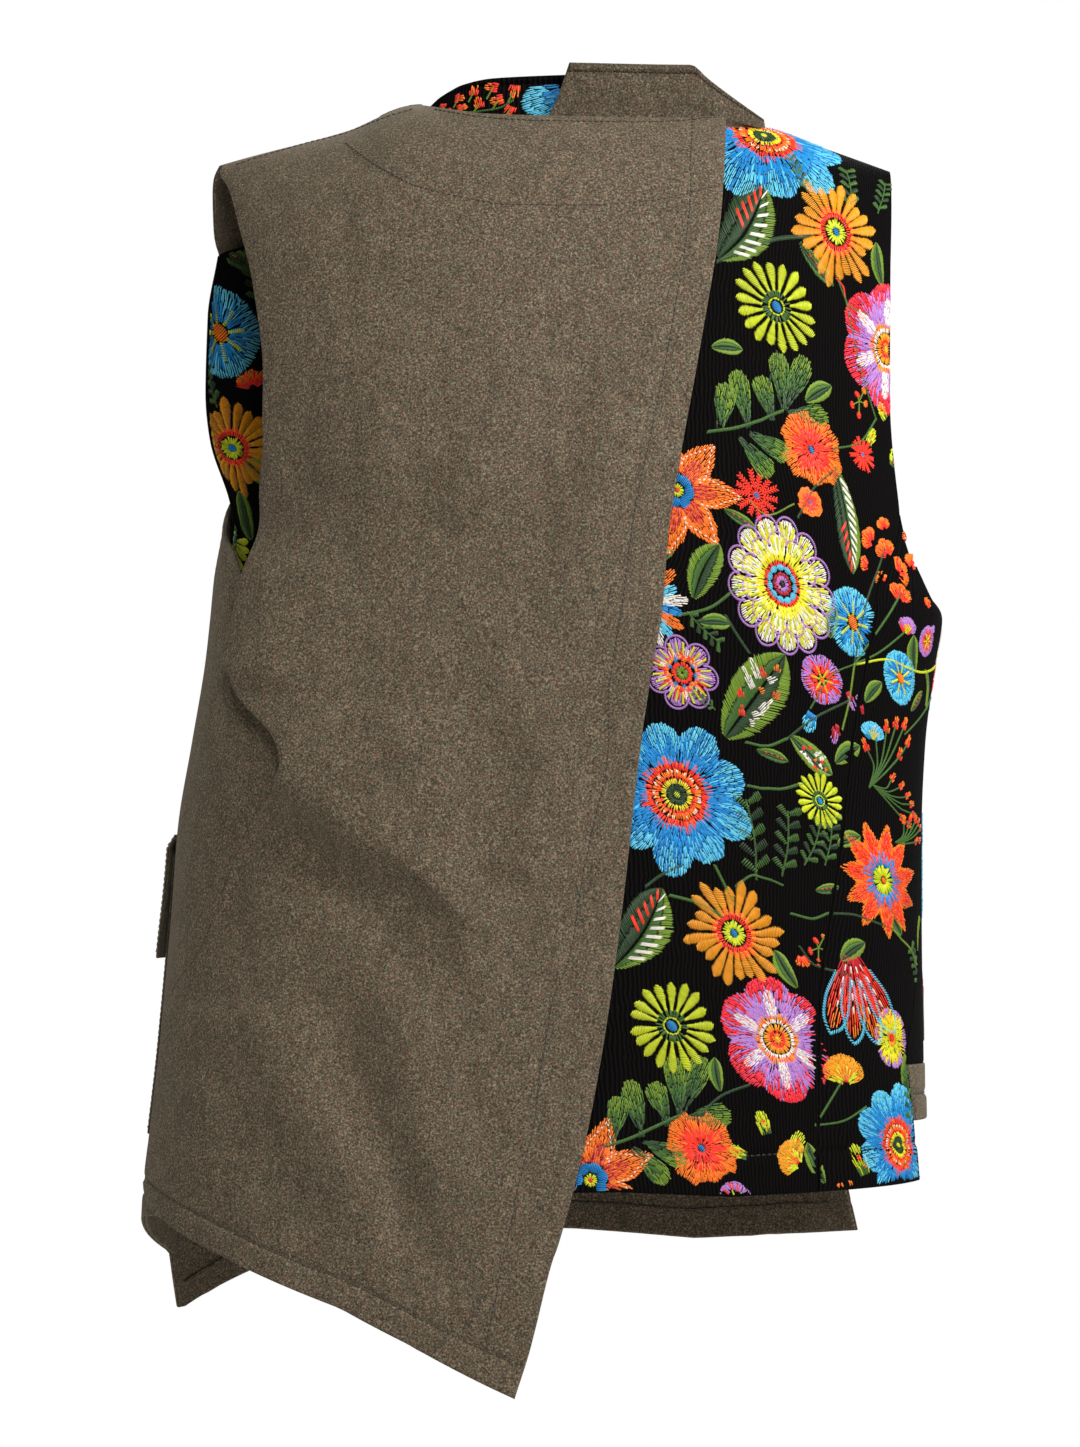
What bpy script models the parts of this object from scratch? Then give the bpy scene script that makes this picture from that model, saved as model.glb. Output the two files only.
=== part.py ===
"""Asymmetric wrap waistcoat, worn form with no wearer: felted wool over embroidered cloth.

The pieces a maker would cut and sew are separate sheets, each given its cloth's thickness.
Every sheet lies on one hollow form, read with two coordinates:
  turn  how far round the body: 0 middle of the back, 1 wearer's right side, 2 middle of the
        front reached past the right side, -1 left side, -2 the same front past the left side
  down  the length of cloth from the shoulder line, over the rounded shoulder, in mm
x runs to the wearer's right, y to the front and z up. All sizes here are in millimetres.
The origin is between the neck points, where the neck and shoulders of a wearer carry it.
"""

import math
from collections import namedtuple

import bmesh
import bpy
import numpy as np

MM = 0.001  # metres in a millimetre

WOOL = 2.2  # thickness of the felted wool
EMBROIDERED = 1.5  # thickness of the embroidered cloth
SEAM = 0.3  # gap between two pieces that are sewn edge to edge
UNDER = 0.0  # the under layer's inner face, above the form
OVER = 4.8  # the outer layer's inner face, above the form

SQUARENESS = 2.3  # exponent of the body's rounded section: 2 is an ellipse
SHOULDER_DROP = 70.0  # height over which the shoulder rounds from level to upright
SHOULDER_CLOTH = 96.0  # length of cloth over that rounding
SHOULDER_SEAM = 0.4  # where the front and back stop short of the shoulder line
QUARTER_GIRTH = 270.0  # length round the form in one turn, near enough for a gap
NECK_MIDDLE = 19.5
NECK_HALF = 98.5
NECK_RISE = 18.0  # how far the shoulder line, carried on, passes above the back neckline

BACK, FRONT_BY_RIGHT, FRONT_BY_LEFT = 0, 2, -2

# The body's sections: half widths to the left and right, depths to the back and front.
Section = namedtuple("Section", "z left right back front")
FORM = (
    Section(z=10, left=190, right=198, back=78, front=72),
    Section(z=-35, left=196, right=200, back=84, front=78),
    Section(z=-89, left=195, right=203, back=98, front=92),
    Section(z=-165, left=197, right=203, back=112, front=108),
    Section(z=-240, left=188, right=210, back=115, front=123),
    Section(z=-275, left=193, right=220, back=115, front=127),
    Section(z=-296, left=195, right=225, back=115, front=128),
    Section(z=-323, left=198, right=221, back=114, front=127),
    Section(z=-371, left=206, right=215, back=111, front=122),
    Section(z=-419, left=214, right=213, back=110, front=120),
    Section(z=-471, left=218, right=213, back=114, front=121),
    Section(z=-548, left=225, right=214, back=120, front=123),
    Section(z=-634, left=234, right=215, back=125, front=128),
    Section(z=-745, left=238, right=216, back=128, front=131),
)

# A point of an outline: x as it is seen, the face it is on, and its height.
Mark = namedtuple("Mark", "x face z")

SHOULDER = (
    Mark(-202, BACK, -40),
    Mark(-177, BACK, -33),
    Mark(-120, BACK, -18),
    Mark(-79, BACK, -3),
    Mark(118, BACK, -10),
    Mark(155, BACK, -22),
    Mark(200, BACK, -38),
)
BACK_NECK = (
    Mark(-79, BACK, -3),
    Mark(-62, BACK, -6),
    Mark(-40, BACK, -9),
    Mark(0, BACK, -10.5),
    Mark(60, BACK, -11.5),
    Mark(118, BACK, -10),
)


def curve(rows, key, value):
    """A function that runs through two columns of a table smoothly, and never overshoots."""
    pairs = sorted((getattr(row, key), getattr(row, value)) for row in rows)
    at, to = (np.array(column, float) for column in zip(*pairs))
    return through(at, to)


def through(at, to):
    step = np.diff(at)
    slope = np.diff(to) / step
    tangent = np.concatenate([slope[:1], np.zeros(len(at) - 2), slope[-1:]])
    same = slope[:-1] * slope[1:] > 0
    sums = np.where(same, slope[:-1] + slope[1:], 1)
    tangent[1:-1] = np.where(same, 2 * slope[:-1] * slope[1:] / sums, 0)

    def read(x):
        x = np.clip(x, at[0], at[-1])
        i = np.clip(np.searchsorted(at, x) - 1, 0, len(step) - 1)
        t = (x - at[i]) / step[i]
        start = to[i] * (1 + 2 * t) * (1 - t) ** 2 + tangent[i] * step[i] * t * (1 - t) ** 2
        end = to[i + 1] * t**2 * (3 - 2 * t) + tangent[i + 1] * step[i] * t**2 * (t - 1)
        return start + end

    return read


def ease(x, start, end):
    """0 before start, 1 after end, smooth between. End may be lower than start."""
    t = np.clip((x - start) / (end - start), 0, 1)
    return t * t * (3 - 2 * t)


left_of = curve(FORM, "z", "left")
right_of = curve(FORM, "z", "right")
back_of = curve(FORM, "z", "back")
front_of = curve(FORM, "z", "front")
shoulder_seam = curve(SHOULDER, "x", "z")
back_neck = curve(BACK_NECK, "x", "z")


def shoulder_line(x):
    """Height of the shoulder line, carried on over the neck in a shallow arch."""
    arch = 1 - ((x - NECK_MIDDLE) / NECK_HALF) ** 2
    return np.where(arch > 0, back_neck(x) + NECK_RISE * arch, shoulder_seam(x))


def half_width(x, z):
    return np.where(x < 0, left_of(z), right_of(z))


def surface(turn, down):
    """The point of the form at these two coordinates."""
    across, away = np.sin(turn * math.pi / 2), np.cos(turn * math.pi / 2)
    bend = np.minimum(down / SHOULDER_CLOTH, 1) * math.pi / 2
    drop = SHOULDER_DROP * (1 - np.cos(bend)) + np.maximum(down - SHOULDER_CLOTH, 0)
    z = -drop
    for _ in range(8):
        x = np.abs(across) ** (2 / SQUARENESS) * half_width(across, z) * np.sign(across)
        z = shoulder_line(x) - drop
    depth = np.where(away > 0, back_of(z), front_of(z))
    y = -np.sign(away) * np.abs(away) ** (2 / SQUARENESS) * depth * np.sin(bend)
    return np.stack([x, y, z], axis=-1)


def outward(turn, down):
    """The direction straight out of the form."""
    round_it = surface(turn + 0.004, down) - surface(turn - 0.004, down)
    up_it = surface(turn, down - 0.4) - surface(turn, down + 0.4)
    normal = np.cross(round_it, up_it)
    return normal / np.linalg.norm(normal, axis=-1, keepdims=True)


def turn_of(x, z, face, proud):
    """The turn at which a layer that stands this proud of the form is seen at x."""
    reach = half_width(x, z) + proud
    part = np.clip(np.abs(x) / reach, 0, 1) ** (SQUARENESS / 2)
    angle = np.sign(x) * np.arcsin(part) / (math.pi / 2)
    return angle if face == BACK else face - angle


def down_of(x, z):
    drop = np.maximum(shoulder_line(x) - z, 0)
    bend = np.arccos(np.clip(1 - drop / SHOULDER_DROP, 0, 1)) / (math.pi / 2)
    below = SHOULDER_CLOTH + drop - SHOULDER_DROP
    return np.where(drop < SHOULDER_DROP, bend * SHOULDER_CLOTH, below)


def side_edge(marks, proud):
    """An edge that runs down the cloth: its turn at each height, with corners kept."""
    turn = np.array([turn_of(mark.x, mark.z, mark.face, proud) for mark in marks], float)
    z = np.array([mark.z for mark in marks], float)
    order = np.argsort(z)
    return lambda at: np.interp(at, z[order], turn[order])


def level_edge(marks, proud):
    """An edge that runs across the cloth: its height at each turn, with corners kept."""
    turn = np.array([turn_of(mark.x, mark.z, mark.face, proud) for mark in marks], float)
    order = np.argsort(turn)
    z = np.array([mark.z for mark in marks], float)
    return lambda at: np.interp(at, turn[order], z[order])


def at_height(edge):
    """The top or foot of a panel, given as a height for each turn, as a length of cloth."""
    return lambda turn, x: np.maximum(down_of(x, edge(turn)), SHOULDER_SEAM)


def level(height):
    """A straight edge at one height."""
    return at_height(lambda turn: np.full_like(turn, height))


def lay_out(across, along, start, end, top, foot):
    """Coordinates of a panel's grid: between two side edges, and from its top to its hem."""
    across, along = np.meshgrid(across, along)
    down = 30 + 600 * along
    turn = start(-down) * (1 - across) + end(-down) * across
    for _ in range(60):
        point = surface(turn, down)
        x, z = point[..., 0], point[..., 2]
        first, last = top(turn[0], x[0]), foot(turn[-1], x[-1])
        down = (down + first * (1 - along) + last * along) / 2
        turn = (turn + start(z) * (1 - across) + end(z) * across) / 2
    return turn, down


def even(cells):
    return np.linspace(0, 1, cells + 1)


def moved(edge, gap):
    """An edge moved round the body by a gap in millimetres, to increasing turn if positive."""
    return lambda z: edge(z) + gap / QUARTER_GIRTH


# Rows of a grid along one of its side edges: a height, and the cells from the last one to it.
Stop = namedtuple("Stop", "z cells")


def rows_along(marks, stops):
    """Shares of a panel's length for its rows, so that neighbours meet point to point."""
    known = sorted(marks, key=lambda mark: mark.z)
    z = np.array([stop.z for stop in stops], float)
    x = np.interp(z, [mark.z for mark in known], [mark.x for mark in known])
    down = np.maximum(down_of(x, z), SHOULDER_SEAM)
    rows = [down[:1]]
    for i in range(1, len(stops)):
        rows.append(np.linspace(down[i - 1], down[i], stops[i].cells + 1)[1:])
    rows = np.concatenate(rows)
    return (rows - rows[0]) / (rows[-1] - rows[0])


def sheet(name, points, thickness, colour, roughness):
    """One piece of cloth: a grid of points on its inner face, thickened outwards."""
    rows, columns = points.shape[:2]
    mesh = bpy.data.meshes.new(name)
    grid = bmesh.new()
    corners = [grid.verts.new(point * MM) for point in points.reshape(-1, 3)]
    for row in range(rows - 1):
        for column in range(columns - 1):
            first = row * columns + column
            ring = (first, first + columns, first + columns + 1, first + 1)
            grid.faces.new([corners[i] for i in ring])
    bmesh.ops.triangulate(grid, faces=grid.faces[:])
    grid.to_mesh(mesh)
    grid.free()
    piece = bpy.data.objects.new(name, mesh)
    bpy.context.scene.collection.objects.link(piece)
    wall = piece.modifiers.new("cloth thickness", "SOLIDIFY")
    wall.thickness = thickness * MM
    wall.offset = 1
    mesh.shade_smooth()
    mesh.set_sharp_from_angle(angle=math.radians(50))
    cloth = bpy.data.materials.new(name)
    cloth.use_nodes = True
    shader = cloth.node_tree.nodes["Principled BSDF"]
    shader.inputs["Base Color"].default_value = (*colour, 1)
    shader.inputs["Roughness"].default_value = roughness
    shader.inputs["Metallic"].default_value = 0
    mesh.materials.append(cloth)
    return piece


def raised(turn, down, height):
    """Points at a height above the form."""
    return surface(turn, down) + outward(turn, down) * np.asarray(height)[..., None]


GREY_BROWN = (0.145, 0.118, 0.078)
BLACK = (0.006, 0.005, 0.005)
WOOL_PROUD = OVER + WOOL
UNDER_PROUD = UNDER + EMBROIDERED


# ---------------------------------------------------------------- back of felted wool
WOOL_BACK_LEFT = (
    Mark(-199.5, BACK, -40),
    Mark(-193, BACK, -49),
    Mark(-185, BACK, -74),
    Mark(-177.5, BACK, -103),
    Mark(-171, BACK, -160),
    Mark(-171, BACK, -193),
    Mark(-174, BACK, -228),
    Mark(-182, BACK, -277),
    Mark(-188.5, BACK, -315),
    Mark(-187, BACK, -337),  # foot of the armhole, where the side seam starts
    Mark(-163, BACK, -367),
    Mark(-159.5, BACK, -382),
    Mark(-177, BACK, -413),
    Mark(-193, BACK, -452),
    Mark(-207, BACK, -490),
    Mark(-225, BACK, -521),  # the seam ends here, and the side slit opens
    Mark(-229, BACK, -568),
    Mark(-235.5, BACK, -622),
    Mark(-232.5, BACK, -640),
)
LEFT_SEAM_ROWS = (
    Stop(z=-337, cells=5),
    Stop(z=-367, cells=2),
    Stop(z=-382, cells=1),
    Stop(z=-413, cells=2),
    Stop(z=-521, cells=5),
    Stop(z=-533, cells=1),
)
WOOL_BACK_ROWS = (Stop(z=0, cells=0), Stop(z=-128, cells=7), Stop(z=-228, cells=4)) + (
    *LEFT_SEAM_ROWS,
    Stop(z=-639, cells=4),
)
WOOL_BACK_RIGHT = (
    Mark(101.5, BACK, -5),
    Mark(99, BACK, -50),
    Mark(83.5, BACK, -150),
    Mark(65, BACK, -263),
    Mark(53, BACK, -349),
    Mark(40.5, BACK, -454),
    Mark(32, BACK, -518),
    Mark(19, BACK, -591),
    Mark(0.5, BACK, -660),
    Mark(-15, BACK, -717),
    Mark(-24, BACK, -745),
)
WOOL_BACK_HEM = (
    Mark(-234, BACK, -638),
    Mark(-222, BACK, -648),
    Mark(-190, BACK, -666),
    Mark(-125, BACK, -694),
    Mark(-86, BACK, -714),
    Mark(-24, BACK, -745),
)
# The long drape fold: its crest from the foot of the armhole, with its height.
Crest = namedtuple("Crest", "x z height")
FOLD = (
    Crest(x=-187, z=-325, height=9),
    Crest(x=-158, z=-363, height=15),
    Crest(x=-137, z=-398, height=13),
    Crest(x=-113, z=-431, height=8),
    Crest(x=-80, z=-452, height=3),
    Crest(x=-40, z=-470, height=0),
)
FOLD_STEEP = 13.0  # reach of the fold below its crest
FOLD_GENTLE = 62.0  # and above it


def fold_height(x, z):
    """The drape fold: gentle above its crest, steep below it, and fading at its end."""
    height = np.zeros_like(x)
    for a, b in zip(FOLD, FOLD[1:]):
        run = np.array([b.x - a.x, b.z - a.z])
        length = math.hypot(*run)
        along = ((x - a.x) * run[0] + (z - a.z) * run[1]) / length**2
        part = np.clip(along, 0, 1)
        gap_x, gap_z = x - a.x - part * run[0], z - a.z - part * run[1]
        above = gap_x * -run[1] + gap_z * run[0] > 0
        reach = np.where(above, FOLD_GENTLE, FOLD_STEEP)
        crest = a.height + (b.height - a.height) * part
        height = np.maximum(height, crest * np.exp(-((np.hypot(gap_x, gap_z) / reach) ** 2)))
    return height


def wool_back_lift(x, z, from_edge):
    """How far the wool back stands off its plain level; nothing along the side seam."""
    seam = ease(z, -326, -338) * ease(z, -512, -500)
    held = 1 - seam * (1 - ease(from_edge, 2.5, 11))
    underarm = 5.5 * ease(z, -245, -280) * ease(z, -338, -322) * ease(x, -120, -165)
    slit = 4.0 * ease(z, -514, -531) * ease(x, -120, -180)
    hang = 3.0 * ease(z, -560, -740)
    return (fold_height(x, z) + underarm) * held + slit + hang


def wool_back():
    start = side_edge(WOOL_BACK_LEFT, WOOL_PROUD)
    end = side_edge(WOOL_BACK_RIGHT, WOOL_PROUD)
    hem = at_height(level_edge(WOOL_BACK_HEM, WOOL_PROUD))
    # Columns lie closer together by the side seam and its fold, and a narrow first one keeps
    # the seam allowance flat.
    across = np.concatenate([[0, 0.01], even(14)[1:] ** 1.35])
    rows = rows_along(WOOL_BACK_LEFT, WOOL_BACK_ROWS)
    turn, down = lay_out(across, rows, start, end, top_of_back, hem)
    flat = raised(turn, down, np.full(turn.shape, OVER))
    from_edge = np.linalg.norm(flat - flat[:, :1], axis=-1)
    lift = wool_back_lift(flat[..., 0], flat[..., 2], from_edge)
    sheet("wool_back", raised(turn, down, OVER + lift), WOOL, GREY_BROWN, 0.95)


def top_of_back(turn, x):
    """The shoulder seam, and the back neckline between the neck points."""
    inside = np.abs(x - NECK_MIDDLE) < NECK_HALF
    return np.maximum(np.where(inside, down_of(x, back_neck(x)), 0), SHOULDER_SEAM)


# ---------------------------------------------------------------- embroidered back
UNDER_BACK_LEFT = (
    Mark(-70, BACK, 0),
    Mark(-70, BACK, -330),
    Mark(-64, BACK, -640),
)
ARMHOLE_RIGHT = (
    Mark(197, BACK, -38),
    Mark(195.5, BACK, -92),
    Mark(195, BACK, -143),
    Mark(195.5, BACK, -186),
    Mark(199.5, BACK, -226),
)
PRINCESS_SEAM = (
    Mark(200.5, BACK, -236),
    Mark(186, BACK, -286),
    Mark(176, BACK, -344),
    Mark(166, BACK, -423),
    Mark(158, BACK, -476),
    Mark(152.5, BACK, -518),
    Mark(151, BACK, -640),
)
UNDER_HEM = (
    Mark(-75, BACK, -628),
    Mark(38, BACK, -627),
    Mark(100, BACK, -630),
    Mark(151, BACK, -628),
    Mark(212, BACK, -624),
)


SLIT_TOP = -551.0
PRINCESS_ROWS = (Stop(z=-286, cells=3), Stop(z=-423, cells=5), Stop(z=-628, cells=8))
UNDER_BACK_ROWS = (Stop(z=0, cells=0), Stop(z=-236, cells=9)) + PRINCESS_ROWS


def embroidered_back():
    right = ARMHOLE_RIGHT + PRINCESS_SEAM
    start, end = side_edge(UNDER_BACK_LEFT, UNDER_PROUD), side_edge(right, UNDER_PROUD)
    hem = at_height(level_edge(UNDER_HEM, UNDER_PROUD))
    rows = rows_along(right, UNDER_BACK_ROWS)
    turn, down = lay_out(even(10), rows, start, end, top_of_back, hem)
    points = raised(turn, down, np.full(turn.shape, UNDER))
    sheet("embroidered_back", points, EMBROIDERED, BLACK, 0.9)


# ---------------------------------------------------------------- embroidered side back
SIDE_TOP = (
    Mark(200.5, BACK, -236),
    Mark(210.5, BACK, -267),
    Mark(219.5, BACK, -286),
    Mark(226.5, BACK, -298),
)
# The right side seam and, below it, the back's edge of the side slit.
SIDE_SEAM = (
    Mark(226.5, BACK, -296),
    Mark(224, BACK, -312),
    Mark(216, BACK, -372),
    Mark(213.5, BACK, -450),
    Mark(209, BACK, -518),
    Mark(204.5, BACK, -551),
    Mark(207, BACK, -572),
    Mark(212, BACK, -626),
)


def embroidered_side_back():
    start = moved(side_edge(ARMHOLE_RIGHT + PRINCESS_SEAM, UNDER_PROUD), 6 * SEAM)
    end = side_edge(SIDE_SEAM, UNDER_PROUD)
    top = at_height(level_edge(SIDE_TOP, UNDER_PROUD))
    hem = at_height(level_edge(UNDER_HEM, UNDER_PROUD))
    rows = rows_along(PRINCESS_SEAM, (Stop(z=-236, cells=0),) + PRINCESS_ROWS)
    # One more row, so that the corner where the slit opens is a point of the grid.
    slit = rows_along(SIDE_SEAM, (Stop(-298, 0), Stop(SLIT_TOP, 1), Stop(-624, 1)))[1]
    rows = np.sort(np.append(rows, slit))
    turn, down = lay_out(even(6), rows, start, end, top, hem)
    points = raised(turn, down, np.full(turn.shape, UNDER))
    sheet("embroidered_side_back", points, EMBROIDERED, (0.009, 0.008, 0.007), 0.9)
    return [z for z in surface(turn, down)[:, -1, 2] if SLIT_TOP - 1 < z < SIDE_SEAM[1].z]


# ---------------------------------------------------------------- embroidered front
UNDER_FRONT_RIGHT = (
    Mark(197, FRONT_BY_RIGHT, -38),
    Mark(187, FRONT_BY_RIGHT, -62),
    Mark(177, FRONT_BY_RIGHT, -100),
    Mark(171, FRONT_BY_RIGHT, -150),
    Mark(174, FRONT_BY_RIGHT, -200),
    Mark(187, FRONT_BY_RIGHT, -250),
    Mark(208, FRONT_BY_RIGHT, -283),
    Mark(226.5, FRONT_BY_RIGHT, -300),
) + SIDE_SEAM[1:]
UNDER_FRONT_END = (
    Mark(-199, FRONT_BY_RIGHT, -60),
    Mark(-201, FRONT_BY_RIGHT, -90),
    Mark(-198.5, FRONT_BY_RIGHT, -165),
    Mark(-189.5, FRONT_BY_RIGHT, -240),
    Mark(-206, FRONT_BY_RIGHT, -371),
    Mark(-226, FRONT_BY_RIGHT, -600),
)
UNDER_FRONT_NECK = (
    Mark(117.5, FRONT_BY_RIGHT, -14),
    Mark(110, FRONT_BY_RIGHT, -34),
    Mark(88, FRONT_BY_RIGHT, -72),
    Mark(45, FRONT_BY_RIGHT, -120),
    Mark(-10, FRONT_BY_RIGHT, -152),
    Mark(-70, FRONT_BY_RIGHT, -158),
    Mark(-130, FRONT_BY_RIGHT, -126),
    Mark(-180, FRONT_BY_RIGHT, -76),
    Mark(-200, FRONT_BY_RIGHT, -84),
)
BAND_TOP = -556.0
BAND_FOOT = -589.0


def bulge(turn, z):
    """The free end of the under front stands out where it shows in the left armhole."""
    return 6.5 * ease(turn, 2.78, 2.96) * ease(z, -70, -120) * ease(z, -238, -190)


def under_front_top(turn, x):
    """The right shoulder seam as far as the neck point, then the wrap neckline."""
    neckline = at_height(level_edge(UNDER_FRONT_NECK, UNDER_PROUD))(turn, x)
    return np.where(x > NECK_MIDDLE + NECK_HALF, SHOULDER_SEAM, neckline)


def embroidered_front(side_seam_heights):
    start = moved(side_edge(UNDER_FRONT_RIGHT, UNDER_PROUD), 5 * SEAM)
    end = side_edge(UNDER_FRONT_END, UNDER_PROUD)
    foot = level(BAND_TOP)
    stops = [Stop(0, 0), Stop(-150, 6), Stop(-250, 3), Stop(SIDE_SEAM[1].z, 4)]
    stops += [Stop(z, 1) for z in side_seam_heights] + [Stop(BAND_TOP, 1)]
    rows = rows_along(UNDER_FRONT_RIGHT, stops)
    turn, down = lay_out(even(19), rows, start, end, under_front_top, foot)
    z = surface(turn, down)[..., 2]
    points = raised(turn, down, UNDER + bulge(turn, z))
    sheet("embroidered_front", points, EMBROIDERED, BLACK, 0.9)
    ends = level(BAND_TOP - SEAM), level(BAND_FOOT)
    turn, down = lay_out(even(19), even(2), start, end, *ends)
    points = raised(turn, down, np.full(turn.shape, UNDER))
    sheet("wool_hem_band", points, WOOL, GREY_BROWN, 0.95)


# ---------------------------------------------------------------- front of felted wool
# From the shoulder down the left armhole, round under it to the back, down the side seam, and
# below it the front's own edge, which lies under the back at the slit.
WOOL_FRONT_LEFT = (
    Mark(-202, FRONT_BY_LEFT, -40),
    Mark(-201, FRONT_BY_LEFT, -70),
    Mark(-196, FRONT_BY_LEFT, -90),
    Mark(-181, FRONT_BY_LEFT, -125),
    Mark(-177, FRONT_BY_LEFT, -165),
    Mark(-181, FRONT_BY_LEFT, -210),
    Mark(-190, FRONT_BY_LEFT, -236),
    Mark(-193, BACK, -246),
    Mark(-189, BACK, -256),
    Mark(-185, BACK, -280),
    Mark(-184, BACK, -300),
    Mark(-191, BACK, -322),
) + tuple(mark for mark in WOOL_BACK_LEFT if -522 < mark.z < -330)
WOOL_FRONT_SLIT = (
    Mark(-226, BACK, -533),
    Mark(-213, BACK, -552),
    Mark(-205, BACK, -575),
    Mark(-205, BACK, -660),
)
WOOL_FRONT_EDGE = (
    Mark(-79, FRONT_BY_LEFT, -3),
    Mark(-62, FRONT_BY_LEFT, -42),
    Mark(-28, FRONT_BY_LEFT, -110),
    Mark(22, FRONT_BY_LEFT, -200),
    Mark(75, FRONT_BY_LEFT, -310),
    Mark(120, FRONT_BY_LEFT, -430),
    Mark(155, FRONT_BY_LEFT, -550),
    Mark(182, FRONT_BY_LEFT, -662),
)
WOOL_FRONT_HEM = (
    Mark(-200, BACK, -643),
    Mark(-215, BACK, -643),
    Mark(-241, BACK, -646),
    Mark(-227, FRONT_BY_LEFT, -672),
    Mark(-225.5, FRONT_BY_LEFT, -706),  # the point low on the left front
    Mark(-165, FRONT_BY_LEFT, -676),
    Mark(-60, FRONT_BY_LEFT, -664),
    Mark(0, FRONT_BY_LEFT, -660),
    Mark(85, FRONT_BY_LEFT, -666),
    Mark(183, FRONT_BY_LEFT, -659),
)


WOOL_FRONT_ROWS = (
    Stop(z=0, cells=0),
    Stop(z=-128, cells=5),
    Stop(z=-205, cells=3),
    Stop(z=-236, cells=3),
    Stop(z=-256, cells=4),
    Stop(z=-300, cells=3),
    Stop(z=-337, cells=2),
) + (*LEFT_SEAM_ROWS[1:], Stop(z=-643, cells=4))


def wool_front():
    start = moved(side_edge(WOOL_FRONT_LEFT + WOOL_FRONT_SLIT, WOOL_PROUD), -7 * SEAM)
    end = side_edge(WOOL_FRONT_EDGE, WOOL_PROUD)
    shoulder = lambda turn, x: np.full_like(turn, SHOULDER_SEAM)
    hem = at_height(level_edge(WOOL_FRONT_HEM, WOOL_PROUD))
    rows = rows_along(WOOL_FRONT_LEFT + WOOL_FRONT_SLIT, WOOL_FRONT_ROWS)
    turn, down = lay_out(even(20), rows, start, end, shoulder, hem)
    z = surface(turn, down)[..., 2]
    armpit = 1.6 * ease(z, -310, -260) * ease(z, -195, -225) * ease(turn, -2.1, -1.8)
    points = raised(turn, down, OVER + armpit * ease(turn, -1, -1.2))
    sheet("wool_front", points[:, ::-1], WOOL, GREY_BROWN, 0.95)


# ---------------------------------------------------------------- hip pocket on the left front
POCKET_BACK_EDGE, POCKET_FRONT_EDGE = -1.06, -1.52  # turns
POCKET_TOP, POCKET_FOOT = -436.0, -600.0
FLAP_TOP, FLAP_FOOT = -424.0, -497.0
ON_FRONT = OVER + WOOL + SEAM


def upright_patch(top, foot, margin, columns, rows):
    """Coordinates of an upright panel on the left hip."""
    start = lambda z: np.full_like(z, POCKET_BACK_EDGE + margin)
    end = lambda z: np.full_like(z, POCKET_FRONT_EDGE - margin)
    return lay_out(even(columns), even(rows), start, end, level(top), level(foot))


def hip_pocket():
    turn, down = upright_patch(POCKET_TOP, POCKET_FOOT, 0, 7, 6)
    points = raised(turn, down, np.full(turn.shape, ON_FRONT + 0.5))
    sheet("pocket_patch", points[:, ::-1], WOOL, GREY_BROWN, 0.95)
    turn, down = upright_patch(FLAP_TOP, FLAP_FOOT, 0.02, 7, 6)
    z = surface(turn, down)[..., 2]
    over_patch = (WOOL + 1.2) * ease(z, FLAP_TOP - 1, POCKET_TOP + 4)
    height = ON_FRONT + 0.5 + over_patch + 1.5 * ease(z, POCKET_TOP, FLAP_FOOT)
    points = raised(turn, down, height)
    sheet("pocket_flap", points[:, ::-1], WOOL, GREY_BROWN, 0.95)


# ---------------------------------------------------------------- stand collar in two halves
Stand = namedtuple("Stand", "x height")
EMBROIDERED_STAND = (
    Stand(x=-77, height=3),
    Stand(x=-69, height=11),
    Stand(x=-55, height=20),
    Stand(x=-39, height=25),
    Stand(x=20, height=29),
)
WOOL_STAND = (
    Stand(x=-4, height=35),
    Stand(x=79, height=35),
    Stand(x=88, height=27),
    Stand(x=101, height=16),
    Stand(x=117, height=3),
)
COLLAR_LEAN = math.radians(10)  # inwards, towards the neck
COLLAR_SEAM = 2.0  # gap over the neckline, which is faceted
WOOL_STAND_SLANT = 12.0  # how far the wool half's free end leans over


def collar_points(first, last, stand, level, inset, slant, columns, rows):
    """Inner face of one half: it rises from the neckline and leans in."""
    height = curve(stand, "x", "height")
    rise = even(rows)[:, None]
    first = first + slant * rise
    angles = [np.arcsin((end - NECK_MIDDLE) / NECK_HALF) for end in (first, last)]
    angle = angles[0] + (angles[1] - angles[0]) * even(columns)[None, :]
    x = NECK_MIDDLE + NECK_HALF * np.sin(angle)
    z = back_neck(x)
    turn, down = turn_of(x, z, BACK, 0), down_of(x, z)
    foot, normal = surface(turn, down), outward(turn, down)
    inwards = np.stack([-normal[..., 0], -normal[..., 1], 0 * x], axis=-1)
    inwards /= np.linalg.norm(inwards, axis=-1, keepdims=True)
    foot += inwards * inset
    upright = ease(rise, 0, 0.5)[..., None]
    out = normal * (1 - upright) - inwards * upright
    climb = (height(x) * rise + COLLAR_SEAM)[..., None]
    up = np.array([0, 0, math.cos(COLLAR_LEAN)])
    return foot + out * level + (up + inwards * math.sin(COLLAR_LEAN)) * climb


def collar():
    left = collar_points(-76.5, 16, EMBROIDERED_STAND, UNDER + 0.5, 4.2, 0, 9, 4)
    sheet("embroidered_collar", left, EMBROIDERED, BLACK, 0.9)
    right = collar_points(-4, 116.5, WOOL_STAND, OVER, 0, WOOL_STAND_SLANT, 10, 4)
    sheet("wool_collar", right, WOOL, GREY_BROWN, 0.95)


def main():
    for thing in list(bpy.data.objects):
        bpy.data.objects.remove(thing)
    wool_back()
    embroidered_back()
    side_seam_heights = embroidered_side_back()
    embroidered_front(side_seam_heights)
    wool_front()
    hip_pocket()
    collar()


main()
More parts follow.
